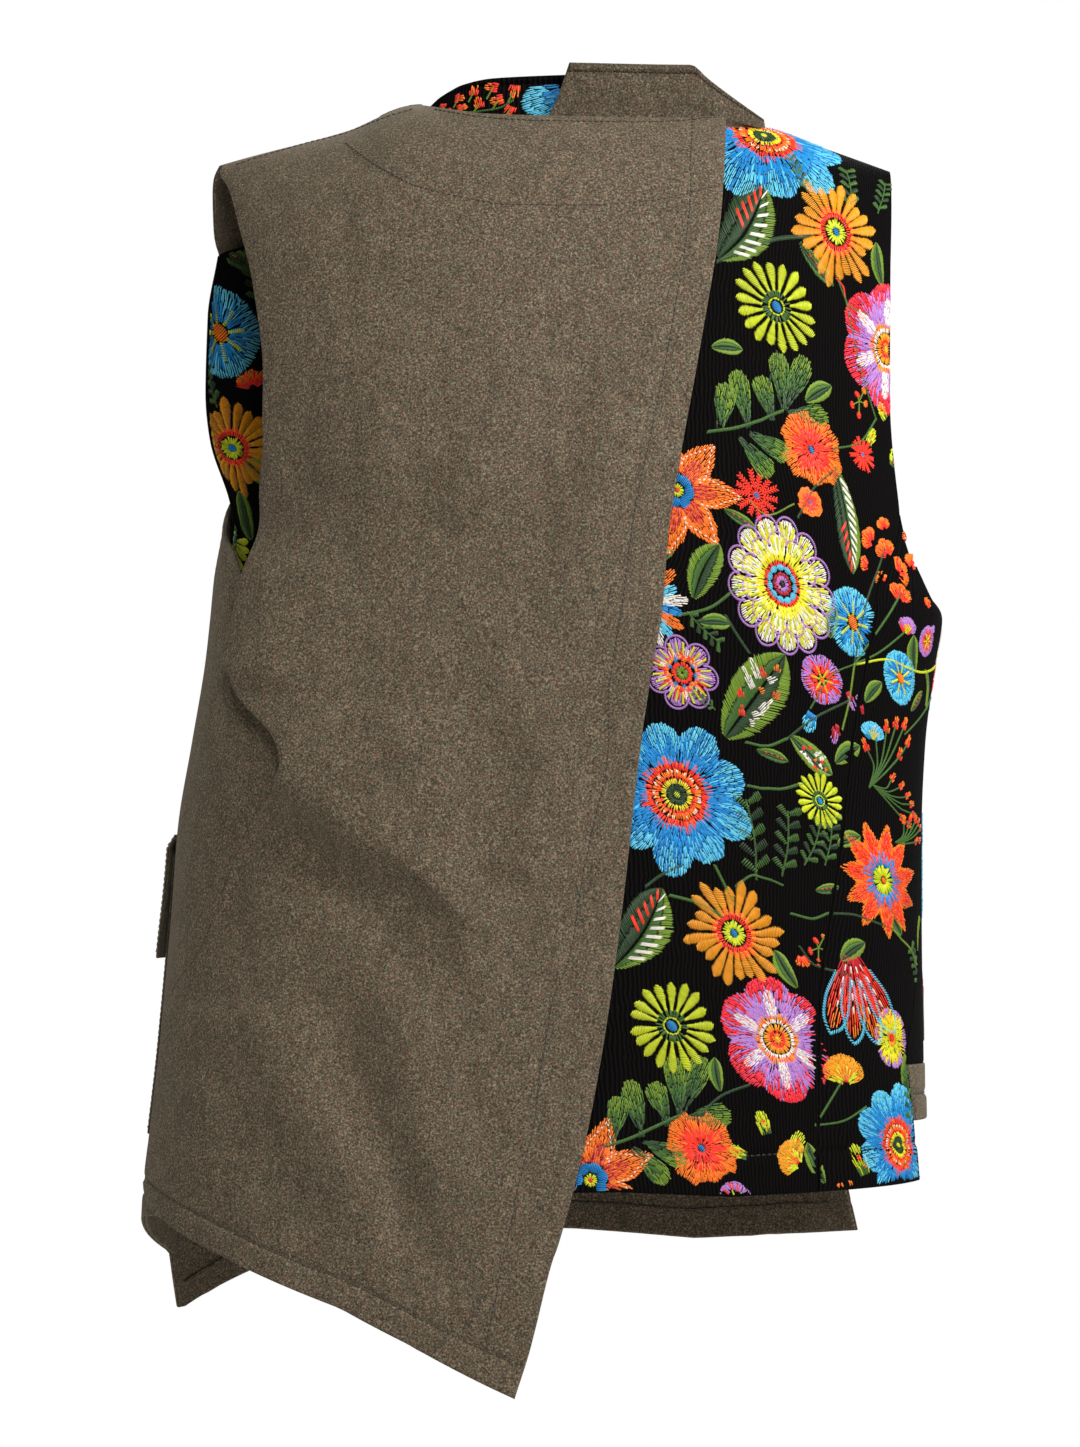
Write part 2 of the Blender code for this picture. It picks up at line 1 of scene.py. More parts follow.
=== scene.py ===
# %% [markdown]
# # An asymmetric wrap waistcoat, seen from the back
#
# One half of this waistcoat is felted grey-brown wool. It wraps from the wearer's left over a half
# of black ribbed cloth, which is covered with flowers in bright embroidery thread. It is filled out
# as if worn, but nobody is in it, so the neck, the armholes and the hem are open.
#
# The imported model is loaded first. It fixes the size and the place of every piece, and the cells
# that follow only give each piece its finer shape and its finish.

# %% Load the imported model
import math
from collections import namedtuple

import bpy
import numpy as np
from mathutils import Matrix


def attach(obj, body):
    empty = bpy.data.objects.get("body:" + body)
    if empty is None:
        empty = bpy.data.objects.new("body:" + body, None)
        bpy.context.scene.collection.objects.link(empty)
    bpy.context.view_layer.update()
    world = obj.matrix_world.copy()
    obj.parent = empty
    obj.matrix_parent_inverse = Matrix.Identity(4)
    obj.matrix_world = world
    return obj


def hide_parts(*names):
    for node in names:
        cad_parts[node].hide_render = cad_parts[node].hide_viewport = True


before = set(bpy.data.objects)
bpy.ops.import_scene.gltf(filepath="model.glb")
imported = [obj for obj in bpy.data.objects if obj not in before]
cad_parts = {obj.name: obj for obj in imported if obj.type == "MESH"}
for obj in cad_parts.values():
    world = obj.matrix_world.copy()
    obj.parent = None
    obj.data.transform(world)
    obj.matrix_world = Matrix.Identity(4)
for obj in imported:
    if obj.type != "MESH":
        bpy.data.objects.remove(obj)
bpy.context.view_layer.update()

bpy.ops.object.select_all(action="DESELECT")
print("pieces in the packed model:", ", ".join(sorted(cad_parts)))

# %% [markdown]
# ## Camera
#
# The camera looks straight at the back, from far off, so that near and far pieces keep their true
# proportions. Its lens is worked out from that distance and from the height that it should show.

# %% Camera
MM = 0.001
VIEW_HEIGHT = 839 * MM  # what the frame shows from top to bottom, at the middle of the garment
VIEW_MIDDLE = (-9 * MM, -60 * MM, -358 * MM)
CAMERA_AWAY = 6.0
SENSOR = 36.0

camera_data = bpy.data.cameras.new("camera")
camera_data.sensor_width = SENSOR
camera_data.lens = SENSOR * CAMERA_AWAY / VIEW_HEIGHT
camera = bpy.data.objects.new("camera", camera_data)
camera.location = (VIEW_MIDDLE[0], VIEW_MIDDLE[1] - CAMERA_AWAY, VIEW_MIDDLE[2])
camera.rotation_euler = (math.pi / 2, 0, 0)
bpy.context.scene.collection.objects.link(camera)
bpy.context.scene.camera = camera
bpy.context.scene.view_settings.view_transform = "Standard"
print("lens", round(camera_data.lens), "mm")


# %% [markdown]
# ## Lights
#
# A garment on white is lit by soft boxes, which area lights stand for here. The one at the right rakes
# across the back, so that each soft fold has a light and a dark slope. The one in front and above
# fills what the first one leaves dark, and the one behind draws a thin rim of light along the edges.

# %% Lights
Lamp = namedtuple("Lamp", "name place size watts")
LAMPS = (
    Lamp("soft box right", (1.05, -1.05, 0.58), 0.55, 25),
    Lamp("soft box in front", (0.0, -2.5, 1.0), 0.6, 30),
    Lamp("rim light behind", (0.6, 2.6, 1.4), 1.6, 40),
)
LIT_POINT = np.array([0, 0, -0.36])  # about the middle of the garment, in metres
for lamp in LAMPS:
    bpy.ops.object.light_add(type="AREA", location=lamp.place)
    light = bpy.context.object
    light.name = lamp.name
    light.data.size = lamp.size
    light.data.energy = lamp.watts
    aim = LIT_POINT - np.array(lamp.place)
    tilt, pan = math.atan2(math.hypot(aim[0], aim[1]), -aim[2]), math.atan2(aim[0], -aim[1])
    light.rotation_euler = (tilt, 0, pan + math.pi)
print(len(LAMPS), "lights")


# %% [markdown]
# ## Materials
#
# Every material here is a small network of nodes round one Principled shader. Two helpers keep the
# cells short: one turns a colour code into the linear numbers that Blender works with, and one adds
# a node with its settings and its links.

# %% Colour and node helpers
def linear(code):
    """An sRGB hex code as a linear colour."""
    parts = [int(code[i : i + 2], 16) / 255 for i in (1, 3, 5)]
    return (*(c / 12.92 if c <= 0.04045 else ((c + 0.055) / 1.055) ** 2.4 for c in parts), 1.0)


def node(tree, kind, links=(), **settings):
    """Adds a node: settings are its properties or, where it has none of that name, its inputs."""
    made = tree.nodes.new(kind)
    for name, value in settings.items():
        if hasattr(made, name):
            setattr(made, name, value)
        else:
            made.inputs[name.replace("_", " ")].default_value = value
    for source, target in links:
        tree.links.new(source, made.inputs[target])
    return made


def new_material(name, **settings):
    """A material with its Principled shader set, and its tree."""
    made = bpy.data.materials.new(name)
    made.use_nodes = True
    shader = made.node_tree.nodes["Principled BSDF"]
    for socket, value in settings.items():
        shader.inputs[socket.replace("_", " ")].default_value = value
    return made, made.node_tree, shader


# %% [markdown]
# ## Floor and surroundings
#
# The floor is plain and pale, far enough below the garment to take no shadow from it. The world is
# white to the camera, and a little dimmer as a light, as a white studio wall is.

# %% Floor and surroundings
FLOOR_RADIUS, FLOOR_LEVEL = 7.5, -1.35  # in metres
bpy.ops.mesh.primitive_circle_add(
    vertices=96, radius=FLOOR_RADIUS, fill_type="NGON", location=(0, 0, FLOOR_LEVEL)
)
floor = bpy.context.object
floor.name = "floor"
bpy.ops.object.transform_apply(location=True)
floor_paint, _, _ = new_material("matt white studio floor", Base_Color=linear("#E2E0DD"), Roughness=0.9)
floor.data.materials.append(floor_paint)

world = bpy.data.worlds.new("studio")
bpy.context.scene.world = world
world.use_nodes = True
sky = world.node_tree
sky.nodes.clear()
seen = node(sky, "ShaderNodeBackground", Color=(1, 1, 1, 1), Strength=1.0)
cast = node(sky, "ShaderNodeBackground", Color=(1, 0.99, 0.97, 1), Strength=0.36)
ray = node(sky, "ShaderNodeLightPath")
either = node(
    sky, "ShaderNodeMixShader",
    [(ray.outputs["Is Camera Ray"], 0), (cast.outputs[0], 1), (seen.outputs[0], 2)],
)
node(sky, "ShaderNodeOutputWorld", [(either.outputs[0], "Surface")])
print("a floor of", 2 * FLOOR_RADIUS, "m, and a world of", len(sky.nodes), "nodes")


# %% [markdown]
# ## The hollow form
#
# Cloth that hangs on a body is easiest to describe with two coordinates that follow it:
#
# - turn, how far round: 0 is the middle of the back, 1 the wearer's right side, 2 the middle of the
#   front reached past the right side, and -1 and -2 the same past the left side;
# - down, the length of cloth from the shoulder line.
#
# The sizes are in millimetres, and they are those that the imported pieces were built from. A section
# of the body is a rounded square, and its half widths and depths change smoothly with the height.

# %% Sections of the form
SQUARENESS = 2.3  # exponent of the section: 2 is an ellipse
SHOULDER_DROP = 70.0  # height over which the shoulder rounds from level to upright
SHOULDER_CLOTH = 96.0  # length of cloth over that rounding
SHOULDER_SEAM = 0.02  # how far front and back stop short of the shoulder line
NECK_MIDDLE, NECK_HALF = 19.5, 98.5  # the back neckline's middle and half width
NECK_RISE = 18.0  # how high the form arches over the neck
BACK, FRONT_BY_RIGHT, FRONT_BY_LEFT = 0, 2, -2  # turn of the middle of each face

Section = namedtuple("Section", "z left right back front")
FORM = (
    Section(z=10, left=190, right=198, back=78, front=72),
    Section(z=-35, left=196, right=200, back=84, front=78),
    Section(z=-89, left=195, right=203, back=98, front=92),
    Section(z=-165, left=197, right=203, back=112, front=108),
    Section(z=-240, left=188, right=210, back=115, front=123),
    Section(z=-275, left=193, right=220, back=115, front=127),
    Section(z=-296, left=195, right=225, back=115, front=128),
    Section(z=-323, left=198, right=221, back=114, front=127),
    Section(z=-371, left=206, right=215, back=111, front=122),
    Section(z=-419, left=214, right=213, back=110, front=120),
    Section(z=-471, left=218, right=213, back=114, front=121),
    Section(z=-548, left=225, right=214, back=120, front=123),
    Section(z=-634, left=234, right=215, back=125, front=128),
    Section(z=-745, left=238, right=216, back=128, front=131),
)
Mark = namedtuple("Mark", "x face z")  # x as it is seen, the face it is on, and its height
SHOULDER = (
    Mark(-202, BACK, -40), Mark(-177, BACK, -33), Mark(-120, BACK, -18), Mark(-79, BACK, -3),
    Mark(118, BACK, -10), Mark(155, BACK, -22), Mark(200, BACK, -38),
)
BACK_NECK = (
    Mark(-79, BACK, -3), Mark(-62, BACK, -6), Mark(-40, BACK, -9), Mark(0, BACK, -10.5),
    Mark(60, BACK, -11.5), Mark(118, BACK, -10),
)


def through(at, to):
    """A smooth function through these points that never overshoots, read from a fine table."""
    at, to = np.asarray(at, float), np.asarray(to, float)
    step = np.diff(at)
    slope = np.diff(to) / step
    tangent = np.concatenate([slope[:1], np.zeros(len(at) - 2), slope[-1:]])
    same = slope[:-1] * slope[1:] > 0
    sums = np.where(same, slope[:-1] + slope[1:], 1)
    tangent[1:-1] = np.where(same, 2 * slope[:-1] * slope[1:] / sums, 0)
    fine = np.linspace(at[0], at[-1], 1500)
    i = np.clip(np.searchsorted(at, fine) - 1, 0, len(step) - 1)
    t = (fine - at[i]) / step[i]
    first = to[i] * (1 + 2 * t) * (1 - t) ** 2 + tangent[i] * step[i] * t * (1 - t) ** 2
    last = to[i + 1] * t**2 * (3 - 2 * t) + tangent[i + 1] * step[i] * t**2 * (t - 1)
    table = first + last
    return lambda x: np.interp(x, fine, table)


def curve(rows, key, value):
    """A smooth function through two columns of a table."""
    pairs = sorted((getattr(row, key), getattr(row, value)) for row in rows)
    return through(*zip(*pairs))


def ease(x, start, end):
    """0 before start, 1 after end, smooth between. End may be lower than start."""
    t = np.clip((x - start) / (end - start), 0, 1)
    return t * t * (3 - 2 * t)


left_of = curve(FORM, "z", "left")
right_of = curve(FORM, "z", "right")
back_of = curve(FORM, "z", "back")
front_of = curve(FORM, "z", "front")
shoulder_seam = curve(SHOULDER, "x", "z")
back_neck = curve(BACK_NECK, "x", "z")
widest = max(FORM, key=lambda row: row.left + row.right)
print("the form is widest at", widest.z, "mm, where it measures", widest.left + widest.right, "mm")


# %% [markdown]
# ### From a turn and a height to a point
#
# Each place on the garment is named by two numbers: how far round the body it is, and how far down.
# The functions here give the point in space for such a pair, at any distance above the form. They
# also work the other way: from a width and a height to the turn.

# %% Points of the form
def shoulder_line(x):
    """Height of the shoulder line, carried on over the neck in a shallow arch."""
    arch = 1 - ((x - NECK_MIDDLE) / NECK_HALF) ** 2
    return np.where(arch > 0, back_neck(x) + NECK_RISE * arch, shoulder_seam(x))


def half_width(x, z):
    return np.where(x < 0, left_of(z), right_of(z))


def surface(turn, down):
    """The point of the form at these two coordinates."""
    across, away = np.sin(turn * math.pi / 2), np.cos(turn * math.pi / 2)
    bend = np.minimum(down / SHOULDER_CLOTH, 1) * math.pi / 2
    drop = SHOULDER_DROP * (1 - np.cos(bend)) + np.maximum(down - SHOULDER_CLOTH, 0)
    z = -drop
    for _ in range(8):
        x = np.abs(across) ** (2 / SQUARENESS) * half_width(across, z) * np.sign(across)
        z = shoulder_line(x) - drop
    depth = np.where(away > 0, back_of(z), front_of(z))
    y = -np.sign(away) * np.abs(away) ** (2 / SQUARENESS) * depth * np.sin(bend)
    return np.stack([x, y, z], axis=-1)


def unit(vectors):
    return vectors / np.maximum(np.linalg.norm(vectors, axis=-1, keepdims=True), 1e-9)


def outward(turn, down):
    """The direction straight out of the form."""
    round_it = surface(turn + 0.004, down) - surface(turn - 0.004, down)
    up_it = surface(turn, down - 0.4) - surface(turn, down + 0.4)
    return unit(np.cross(round_it, up_it))


def turn_of(x, z, face, proud=0.0):
    """The turn at which a layer that stands this proud of the form is seen at x."""
    part = np.clip(np.abs(x) / (half_width(x, z) + proud), 0, 1) ** (SQUARENESS / 2)
    angle = np.sign(x) * np.arcsin(part) / (math.pi / 2)
    return angle if face == BACK else face - angle


def down_of(x, z):
    """The length of cloth from the shoulder line to this height."""
    drop = np.maximum(shoulder_line(x) - z, 0)
    bend = np.arccos(np.clip(1 - drop / SHOULDER_DROP, 0, 1)) / (math.pi / 2)
    below = SHOULDER_CLOTH + drop - SHOULDER_DROP
    return np.where(drop < SHOULDER_DROP, bend * SHOULDER_CLOTH, below)


def raised(turn, down, height):
    """Points at a height above the form."""
    return surface(turn, down) + outward(turn, down) * np.asarray(height)[..., None]


# %% [markdown]
# ## A piece of cloth
#
# A panel lies between two side edges, a top and a foot. `Panel` works out where its cloth lies on
# the form, and knows how far each of its points is from each edge. `cloth` then makes the mesh: an
# inner and an outer face, joined round the rim. Columns and rows lie close together near an edge,
# so that the edge can be rounded and the stitched turning behind it can show.

# %% Edges and panels
def side_edge(marks, proud):
    """An edge that runs down the cloth: its turn at each height."""
    rows = sorted((mark.z, float(turn_of(mark.x, mark.z, mark.face, proud))) for mark in marks)
    return through(*zip(*rows))


def level_edge(marks, proud):
    """An edge that runs across the cloth: its height at each turn."""
    rows = sorted((float(turn_of(mark.x, mark.z, mark.face, proud)), mark.z) for mark in marks)
    return lambda at: np.interp(at, *zip(*rows))


def at_height(edge):
    """The top or foot of a panel, given as a height for each turn, as a length of cloth."""
    return lambda turn, x: np.maximum(down_of(x, edge(turn)), SHOULDER_SEAM)


def level(height):
    return at_height(lambda turn: np.full_like(turn, height))


def lay_out(across, along, start, end, top, foot):
    """Coordinates of a panel's grid: between two side edges, and from its top to its foot."""
    down = 30 + 600 * along
    turn = start(-down) * (1 - across) + end(-down) * across
    for _ in range(60):
        point = surface(turn, down)
        x, z = point[..., 0], point[..., 2]
        first, last = top(turn[0], x[0]), foot(turn[-1], x[-1])
        down = (down + first * (1 - along) + last * along) / 2
        turn = (turn + start(z) * (1 - across) + end(z) * across) / 2
    return turn, down


LAY_COLUMNS, LAY_ROWS = 48, 130  # cells of the grid on which a panel is laid out
QUARTER_GIRTH = 270.0  # length of cloth for a turn of 1


class Panel:
    """Where a piece of cloth lies. Its points are named by their shares along and across it."""

    def __init__(self, start, end, top, foot):
        self.edges = (start, end, top, foot)
        across, along = np.meshgrid(np.linspace(0, 1, LAY_COLUMNS + 1), np.linspace(0, 1, LAY_ROWS + 1))
        self.turn, self.down = lay_out(across, along, start, end, top, foot)
        points = surface(self.turn, self.down)
        self.width = np.linalg.norm(np.diff(points, axis=1), axis=-1).sum(axis=1)
        self.length = np.linalg.norm(np.diff(points, axis=0), axis=-1).sum(axis=0)

    def read(self, field, along, across):
        """A field of the panel between its grid points."""
        row, column = along * LAY_ROWS, across * LAY_COLUMNS
        i, j = np.clip(row.astype(int), 0, LAY_ROWS - 1), np.clip(column.astype(int), 0, LAY_COLUMNS - 1)
        t, s = row - i, column - j
        upper = field[i, j] * (1 - s) + field[i, j + 1] * s
        lower = field[i + 1, j] * (1 - s) + field[i + 1, j + 1] * s
        return upper * (1 - t) + lower * t

    def place(self, along, across):
        """Coordinates on the form, and the distances to the start, end, top and foot."""
        width = np.interp(along, np.linspace(0, 1, LAY_ROWS + 1), self.width)
        length = np.interp(across, np.linspace(0, 1, LAY_COLUMNS + 1), self.length)
        away = (across * width, (1 - across) * width, along * length, (1 - along) * length)
        return self.read(self.turn, along, across), self.read(self.down, along, across), away

    def gaps(self, turn, down):
        """The flat place of a point, and about how far it is from the start, end, top and foot."""
        point = surface(turn, down)
        x, z = point[..., 0], point[..., 2]
        start, end, top, foot = self.edges
        away = ((turn - start(z)) * QUARTER_GIRTH, (end(z) - turn) * QUARTER_GIRTH)
        return x, z, away + (down - top(turn, x), foot(turn, x) - down)


# %% [markdown]
# ### The mesh of a piece
#
# Each stretch of cloth gets its columns and rows first, then its height above the form, and last its
# two faces and its rim. A turned edge is doubled cloth, so it swells a little, outside and inside, and
# its row of stitching pulls a groove.

# %% Spacing of a mesh's columns and rows
RIM = (0.0, 0.25, 0.7, 1.3, 2.4, 4.5)  # distances from an edge, in mm, where the cloth is rounded
AT_STITCH = (-3.2, -1.6, -0.8, 0.0, 0.8, 1.6, 3.2)  # and on both sides of a row of stitching


def near(turning):
    """Distances from an edge at which the mesh has its columns: at its rim and at its stitching."""
    if not turning:
        return np.array(RIM)
    between = np.linspace(RIM[-1], turning + AT_STITCH[0], max(2, round(turning / 5)))[1:-1]
    return np.concatenate([RIM, between, turning + np.array(AT_STITCH)])


def shares(total, first, last, cells):
    """Shares of each total length: close together at both ends, and evenly spaced between."""
    even = np.linspace(0, 1, cells + 1)[1:-1]
    inner = first[-1] + even * (total[:, None] - first[-1] - last[-1])
    ones = np.ones((len(total), 1))
    return np.concatenate([ones * first, inner, total[:, None] - ones * last[::-1]], axis=1) / total[:, None]


def grid_of(panel, turnings, cell):
    """Shares along and across a panel for each point of its mesh, whose cells are about this big."""
    start, end, top, foot = (near(turning) for turning in turnings)
    rows, columns = np.linspace(0, 1, LAY_ROWS + 1), np.linspace(0, 1, LAY_COLUMNS + 1)
    down_cells = round((panel.length.max() - top[-1] - foot[-1]) / cell)
    round_cells = round((panel.width.max() - start[-1] - end[-1]) / cell)
    height = np.array([panel.length.mean()])
    along = shares(height, top, foot, down_cells).T
    for _ in range(3):
        across = shares(np.interp(along.mean(axis=1), rows, panel.width), start, end, round_cells)
        along = shares(np.interp(across.mean(axis=0), columns, panel.length), top, foot, down_cells).T
    return along, across


ROUNDING = 1.3  # radius of the rounded edge, in mm
TURNED = 0.8  # how much a turned edge stands proud of a single layer
TURNED_INSIDE = 0.8  # and the same on the inner face, where its cut edge shows
SUNK, SUNK_REACH = 0.9, 1.7  # how deep a row of stitching pulls in


def edge_finish(away, turnings):
    """How round the cloth is near its rim, and how much its turned edges swell out and in."""
    rim, swell, inside = np.ones_like(away[0]), np.zeros_like(away[0]), np.zeros_like(away[0])
    for turning, gap in zip(turnings, away):
        rim = np.minimum(rim, np.sqrt(1 - (1 - np.clip(gap / ROUNDING, 0, 1)) ** 2))
        if turning:
            swell = np.maximum(swell, TURNED * ease(gap, turning, turning - 4))
            swell = swell - SUNK * np.exp(-(((gap - turning) / SUNK_REACH) ** 2))
            inside = np.maximum(inside, TURNED_INSIDE * ease(gap, turning + 0.8, turning - 0.8))
    return rim, swell * rim, inside * rim


def cloth(name, panel, thickness, lift, turnings=(0, 0, 0, 0), cell=4.0, outside=1):
    """A closed mesh of one piece of cloth. Its inner face stands lift above the form."""
    along, across = grid_of(panel, turnings, cell)
    turn, down, away = panel.place(along, across)
    flat = surface(turn, down)
    height = lift(turn, down, flat[..., 0], flat[..., 2], away)
    rim, swell, inside = edge_finish(away, turnings)
    inner = raised(turn, down, height + thickness * 0.5 * (1 - rim) - inside)
    outer = raised(turn, down, height + thickness * (0.52 + 0.48 * rim) + swell)
    made = closed_sheet(name, inner, outer, outside)
    spread_uv(made, np.stack([np.stack([away[0], -down], -1)] * 2).reshape(-1, 2))
    panel.lift, panel.thickness, panel.turnings = lift, thickness, turnings
    return made


def closed_sheet(name, inner, outer, outside):
    """Two faces of a grid and the rim between them, as one closed mesh facing out."""
    rows, columns = inner.shape[:2]
    index = np.arange(rows * columns).reshape(rows, columns)
    quads = np.stack([index[:-1, :-1], index[1:, :-1], index[1:, 1:], index[:-1, 1:]], axis=-1).reshape(-1, 4)
    ring = np.concatenate([index[0, :-1], index[:-1, -1], index[-1, :0:-1], index[:0:-1, 0]])
    after = np.roll(ring, -1)
    shift = rows * columns
    rim = np.stack([ring, after, after + shift, ring + shift], axis=-1)
    faces = np.concatenate([quads[:, ::-1], quads + shift, rim])
    if outside < 0:
        faces = faces[:, ::-1]
    points = np.concatenate([inner.reshape(-1, 3), outer.reshape(-1, 3)]) * MM
    return mesh_object(name, points, faces)


def mesh_object(name, points, faces):
    """An object from arrays of points and of faces with equal numbers of corners."""
    mesh = bpy.data.meshes.new(name)
    count, corners = faces.shape
    mesh.vertices.add(len(points))
    mesh.vertices.foreach_set("co", points.astype(np.float32).ravel())
    mesh.loops.add(count * corners)
    mesh.loops.foreach_set("vertex_index", faces.astype(np.int32).ravel())
    mesh.polygons.add(count)
    mesh.polygons.foreach_set("loop_start", np.arange(count, dtype=np.int32) * corners)
    mesh.update(calc_edges=True)
    mesh.shade_smooth()
    made = bpy.data.objects.new(name, mesh)
    bpy.context.scene.collection.objects.link(made)
    return made


def spread_uv(made, flat):
    """A UV map in metres of cloth, from a flat place for each point."""
    mesh = made.data
    layer = mesh.uv_layers.new(name="cloth")
    corner = np.empty(len(mesh.loops), np.int32)
    mesh.loops.foreach_get("vertex_index", corner)
    layer.data.foreach_set("uv", (flat[corner] * MM).astype(np.float32).ravel())


# %% [markdown]
# ## The felted wool
#
# Melange wool is spun from fibres dyed before spinning, here grey-green, brown and a little red. In
# the felt they show as a fine salt-and-pepper grain. The surface is matt, with a short nap that
# catches light at grazing angles, which is the sheen. Noise at three sizes gives the tufts of fibre,
# about a millimetre wide, their tints, and the cloudy streaks of the felting.

# %% Felted wool
TUFTS, TINTS, CLOUDS = 900.0, 420.0, 120.0  # how many of each there are to a metre


def wool_material(name, tone):
    """Felted melange wool: a tone below 1 makes it darker."""
    made, tree, shader = new_material(
        name, Roughness=0.95, Sheen_Weight=0.22, Sheen_Roughness=0.55,
        Sheen_Tint=linear("#C9BFA8"), Specular_IOR_Level=0.15,
    )
    spot = node(tree, "ShaderNodeTexCoord")
    at = spot.outputs["Object"]
    grain = node(tree, "ShaderNodeTexNoise", [(at, "Vector")], Scale=TUFTS, Detail=3.0, Roughness=0.75)
    colours = node(tree, "ShaderNodeValToRGB", [(grain.outputs["Fac"], "Fac")])
    ramp = colours.color_ramp
    for place, code in ((0.30, "#2A231D"), (0.42, "#544B3F"), (0.54, "#766C5C"), (0.68, "#ADA28C")):
        stop = ramp.elements.new(place)
        stop.color = linear(code)
    ramp.elements.remove(ramp.elements[0])
    ramp.elements.remove(ramp.elements[-1])
    hue = node(tree, "ShaderNodeTexNoise", [(at, "Vector")], Scale=TINTS, Detail=2.0, Roughness=0.6)
    tint = node(tree, "ShaderNodeValToRGB", [(hue.outputs["Fac"], "Fac")])
    for stop, (place, code) in zip(tint.color_ramp.elements, ((0.38, "#64786E"), (0.62, "#94685A"))):
        stop.position = place
        stop.color = linear(code)
    mixed = node(tree, "ShaderNodeMix", data_type="RGBA", blend_type="SOFT_LIGHT")
    mixed.inputs["Factor"].default_value = 0.55
    tree.links.new(colours.outputs["Color"], mixed.inputs["A"])
    tree.links.new(tint.outputs["Color"], mixed.inputs["B"])
    streak = node(tree, "ShaderNodeMapping", [(at, "Vector")])
    streak.inputs["Scale"].default_value = (1.0, 1.0, 0.45)
    cloud = node(tree, "ShaderNodeTexNoise", [(streak.outputs["Vector"], "Vector")],
                 Scale=CLOUDS, Detail=4.0, Roughness=0.65)
    shade = node(tree, "ShaderNodeMapRange", [(cloud.outputs["Fac"], "Value")], From_Min=0.3, From_Max=0.7,
                 To_Min=0.80 * tone, To_Max=1.16 * tone)
    toned = node(tree, "ShaderNodeVectorMath", [(mixed.outputs["Result"], 0)], operation="SCALE")
    tree.links.new(shade.outputs["Result"], toned.inputs["Scale"])
    tree.links.new(toned.outputs["Vector"], shader.inputs["Base Color"])
    nap = node(tree, "ShaderNodeTexNoise", [(at, "Vector")], Scale=TUFTS, Detail=4.0, Roughness=0.75)
    bump = node(tree, "ShaderNodeBump", [(nap.outputs["Fac"], "Height")], Strength=0.55, Distance=0.0006)
    tree.links.new(bump.outputs["Normal"], shader.inputs["Normal"])
    return made


wool_felt = wool_material("felted melange wool", 0.88)
# The collar's copy of the wool is darker only as painted shade: its tone of 0.62 stands in for shade that the
# lamps don't give the collar, which they light more than the back.
wool_felt_painted_shade = wool_material("felted melange wool darkened as painted shade", 0.62)
print(wool_felt.name, "has", len(wool_felt.node_tree.nodes), "nodes")


# %% [markdown]
# ## The black ribbed cloth
#
# The ground of the embroidery is a black cloth with fine crinkled ribs that run down it, 2 to 3 mm
# apart. They bend and fade, so the wave that makes them is pushed about by noise.

# %% Black ribbed cloth
RIB_SCALE = 125.0  # about one rib every 2.5 mm


def black_material():
    """Black ribbed cotton: nearly black in the grooves, and a little lighter on the ribs as painted sheen."""
    made, tree, shader = new_material(
        "black ribbed cotton", Roughness=0.9, Sheen_Weight=0.01, Sheen_Roughness=0.5,
        Sheen_Tint=linear("#8A8088"), Specular_IOR_Level=0.07,
    )
    spot = node(tree, "ShaderNodeUVMap", uv_map="cloth")
    ribs = node(tree, "ShaderNodeTexWave", [(spot.outputs["UV"], "Vector")], wave_type="BANDS",
                bands_direction="X", wave_profile="SIN", Scale=RIB_SCALE, Distortion=5.5, Detail=3.0,
                Detail_Scale=0.7)
    # The colour ramp paints the ribs lighter than the grooves: this is painted sheen, the light that the tops
    # of the ribs catch, not a colour of the cloth.
    tone = node(tree, "ShaderNodeValToRGB", [(ribs.outputs["Fac"], "Fac")])
    for stop, (place, code) in zip(tone.color_ramp.elements, ((0.3, "#030202"), (0.95, "#0D0B0A"))):
        stop.position = place
        stop.color = linear(code)
    tree.links.new(tone.outputs["Color"], shader.inputs["Base Color"])
    bump = node(tree, "ShaderNodeBump", [(ribs.outputs["Fac"], "Height")], Strength=0.7, Distance=0.0008)
    tree.links.new(bump.outputs["Normal"], shader.inputs["Normal"])
    return made


black_cloth = black_material()
print(black_cloth.name, "has", len(black_cloth.node_tree.nodes), "nodes")


# %% [markdown]
# ## The outlines and the fold of the wool back
#
# An outline is a short table of marks. Each gives the width and the height of a point of the edge, and
# the face of the garment that it is on. The long diagonal fold is a table of its crest.

# %% Outlines of the wool back
WOOL, EMBROIDERED = 2.2, 1.5  # thickness of the two cloths
UNDER, OVER = 0.0, 4.8  # inner face of the under and of the outer layer, above the form
WOOL_PROUD, UNDER_PROUD = OVER + WOOL, UNDER + EMBROIDERED

WOOL_BACK_LEFT = (
    Mark(-199.5, BACK, -40), Mark(-193, BACK, -49), Mark(-185, BACK, -74), Mark(-177.5, BACK, -103),
    Mark(-171, BACK, -160), Mark(-171, BACK, -193), Mark(-172.5, BACK, -228), Mark(-176.5, BACK, -277),
    Mark(-181, BACK, -312), Mark(-183, BACK, -336), Mark(-163, BACK, -367), Mark(-159.5, BACK, -382),
    Mark(-177, BACK, -413), Mark(-193, BACK, -452), Mark(-207, BACK, -490), Mark(-225, BACK, -521),
    Mark(-229, BACK, -568), Mark(-235.5, BACK, -622), Mark(-232.5, BACK, -640),
)
WOOL_BACK_RIGHT = (
    Mark(101.5, BACK, -5), Mark(99, BACK, -50), Mark(83.5, BACK, -150), Mark(65, BACK, -263),
    Mark(53, BACK, -349), Mark(40.5, BACK, -454), Mark(32, BACK, -518), Mark(19, BACK, -591),
    Mark(0.5, BACK, -660), Mark(-15, BACK, -717), Mark(-24, BACK, -745),
)
WOOL_BACK_HEM = (
    Mark(-234, BACK, -638), Mark(-222, BACK, -648), Mark(-190, BACK, -666), Mark(-125, BACK, -694),
    Mark(-86, BACK, -714), Mark(-24, BACK, -745),
)
Crest = namedtuple("Crest", "x z height")
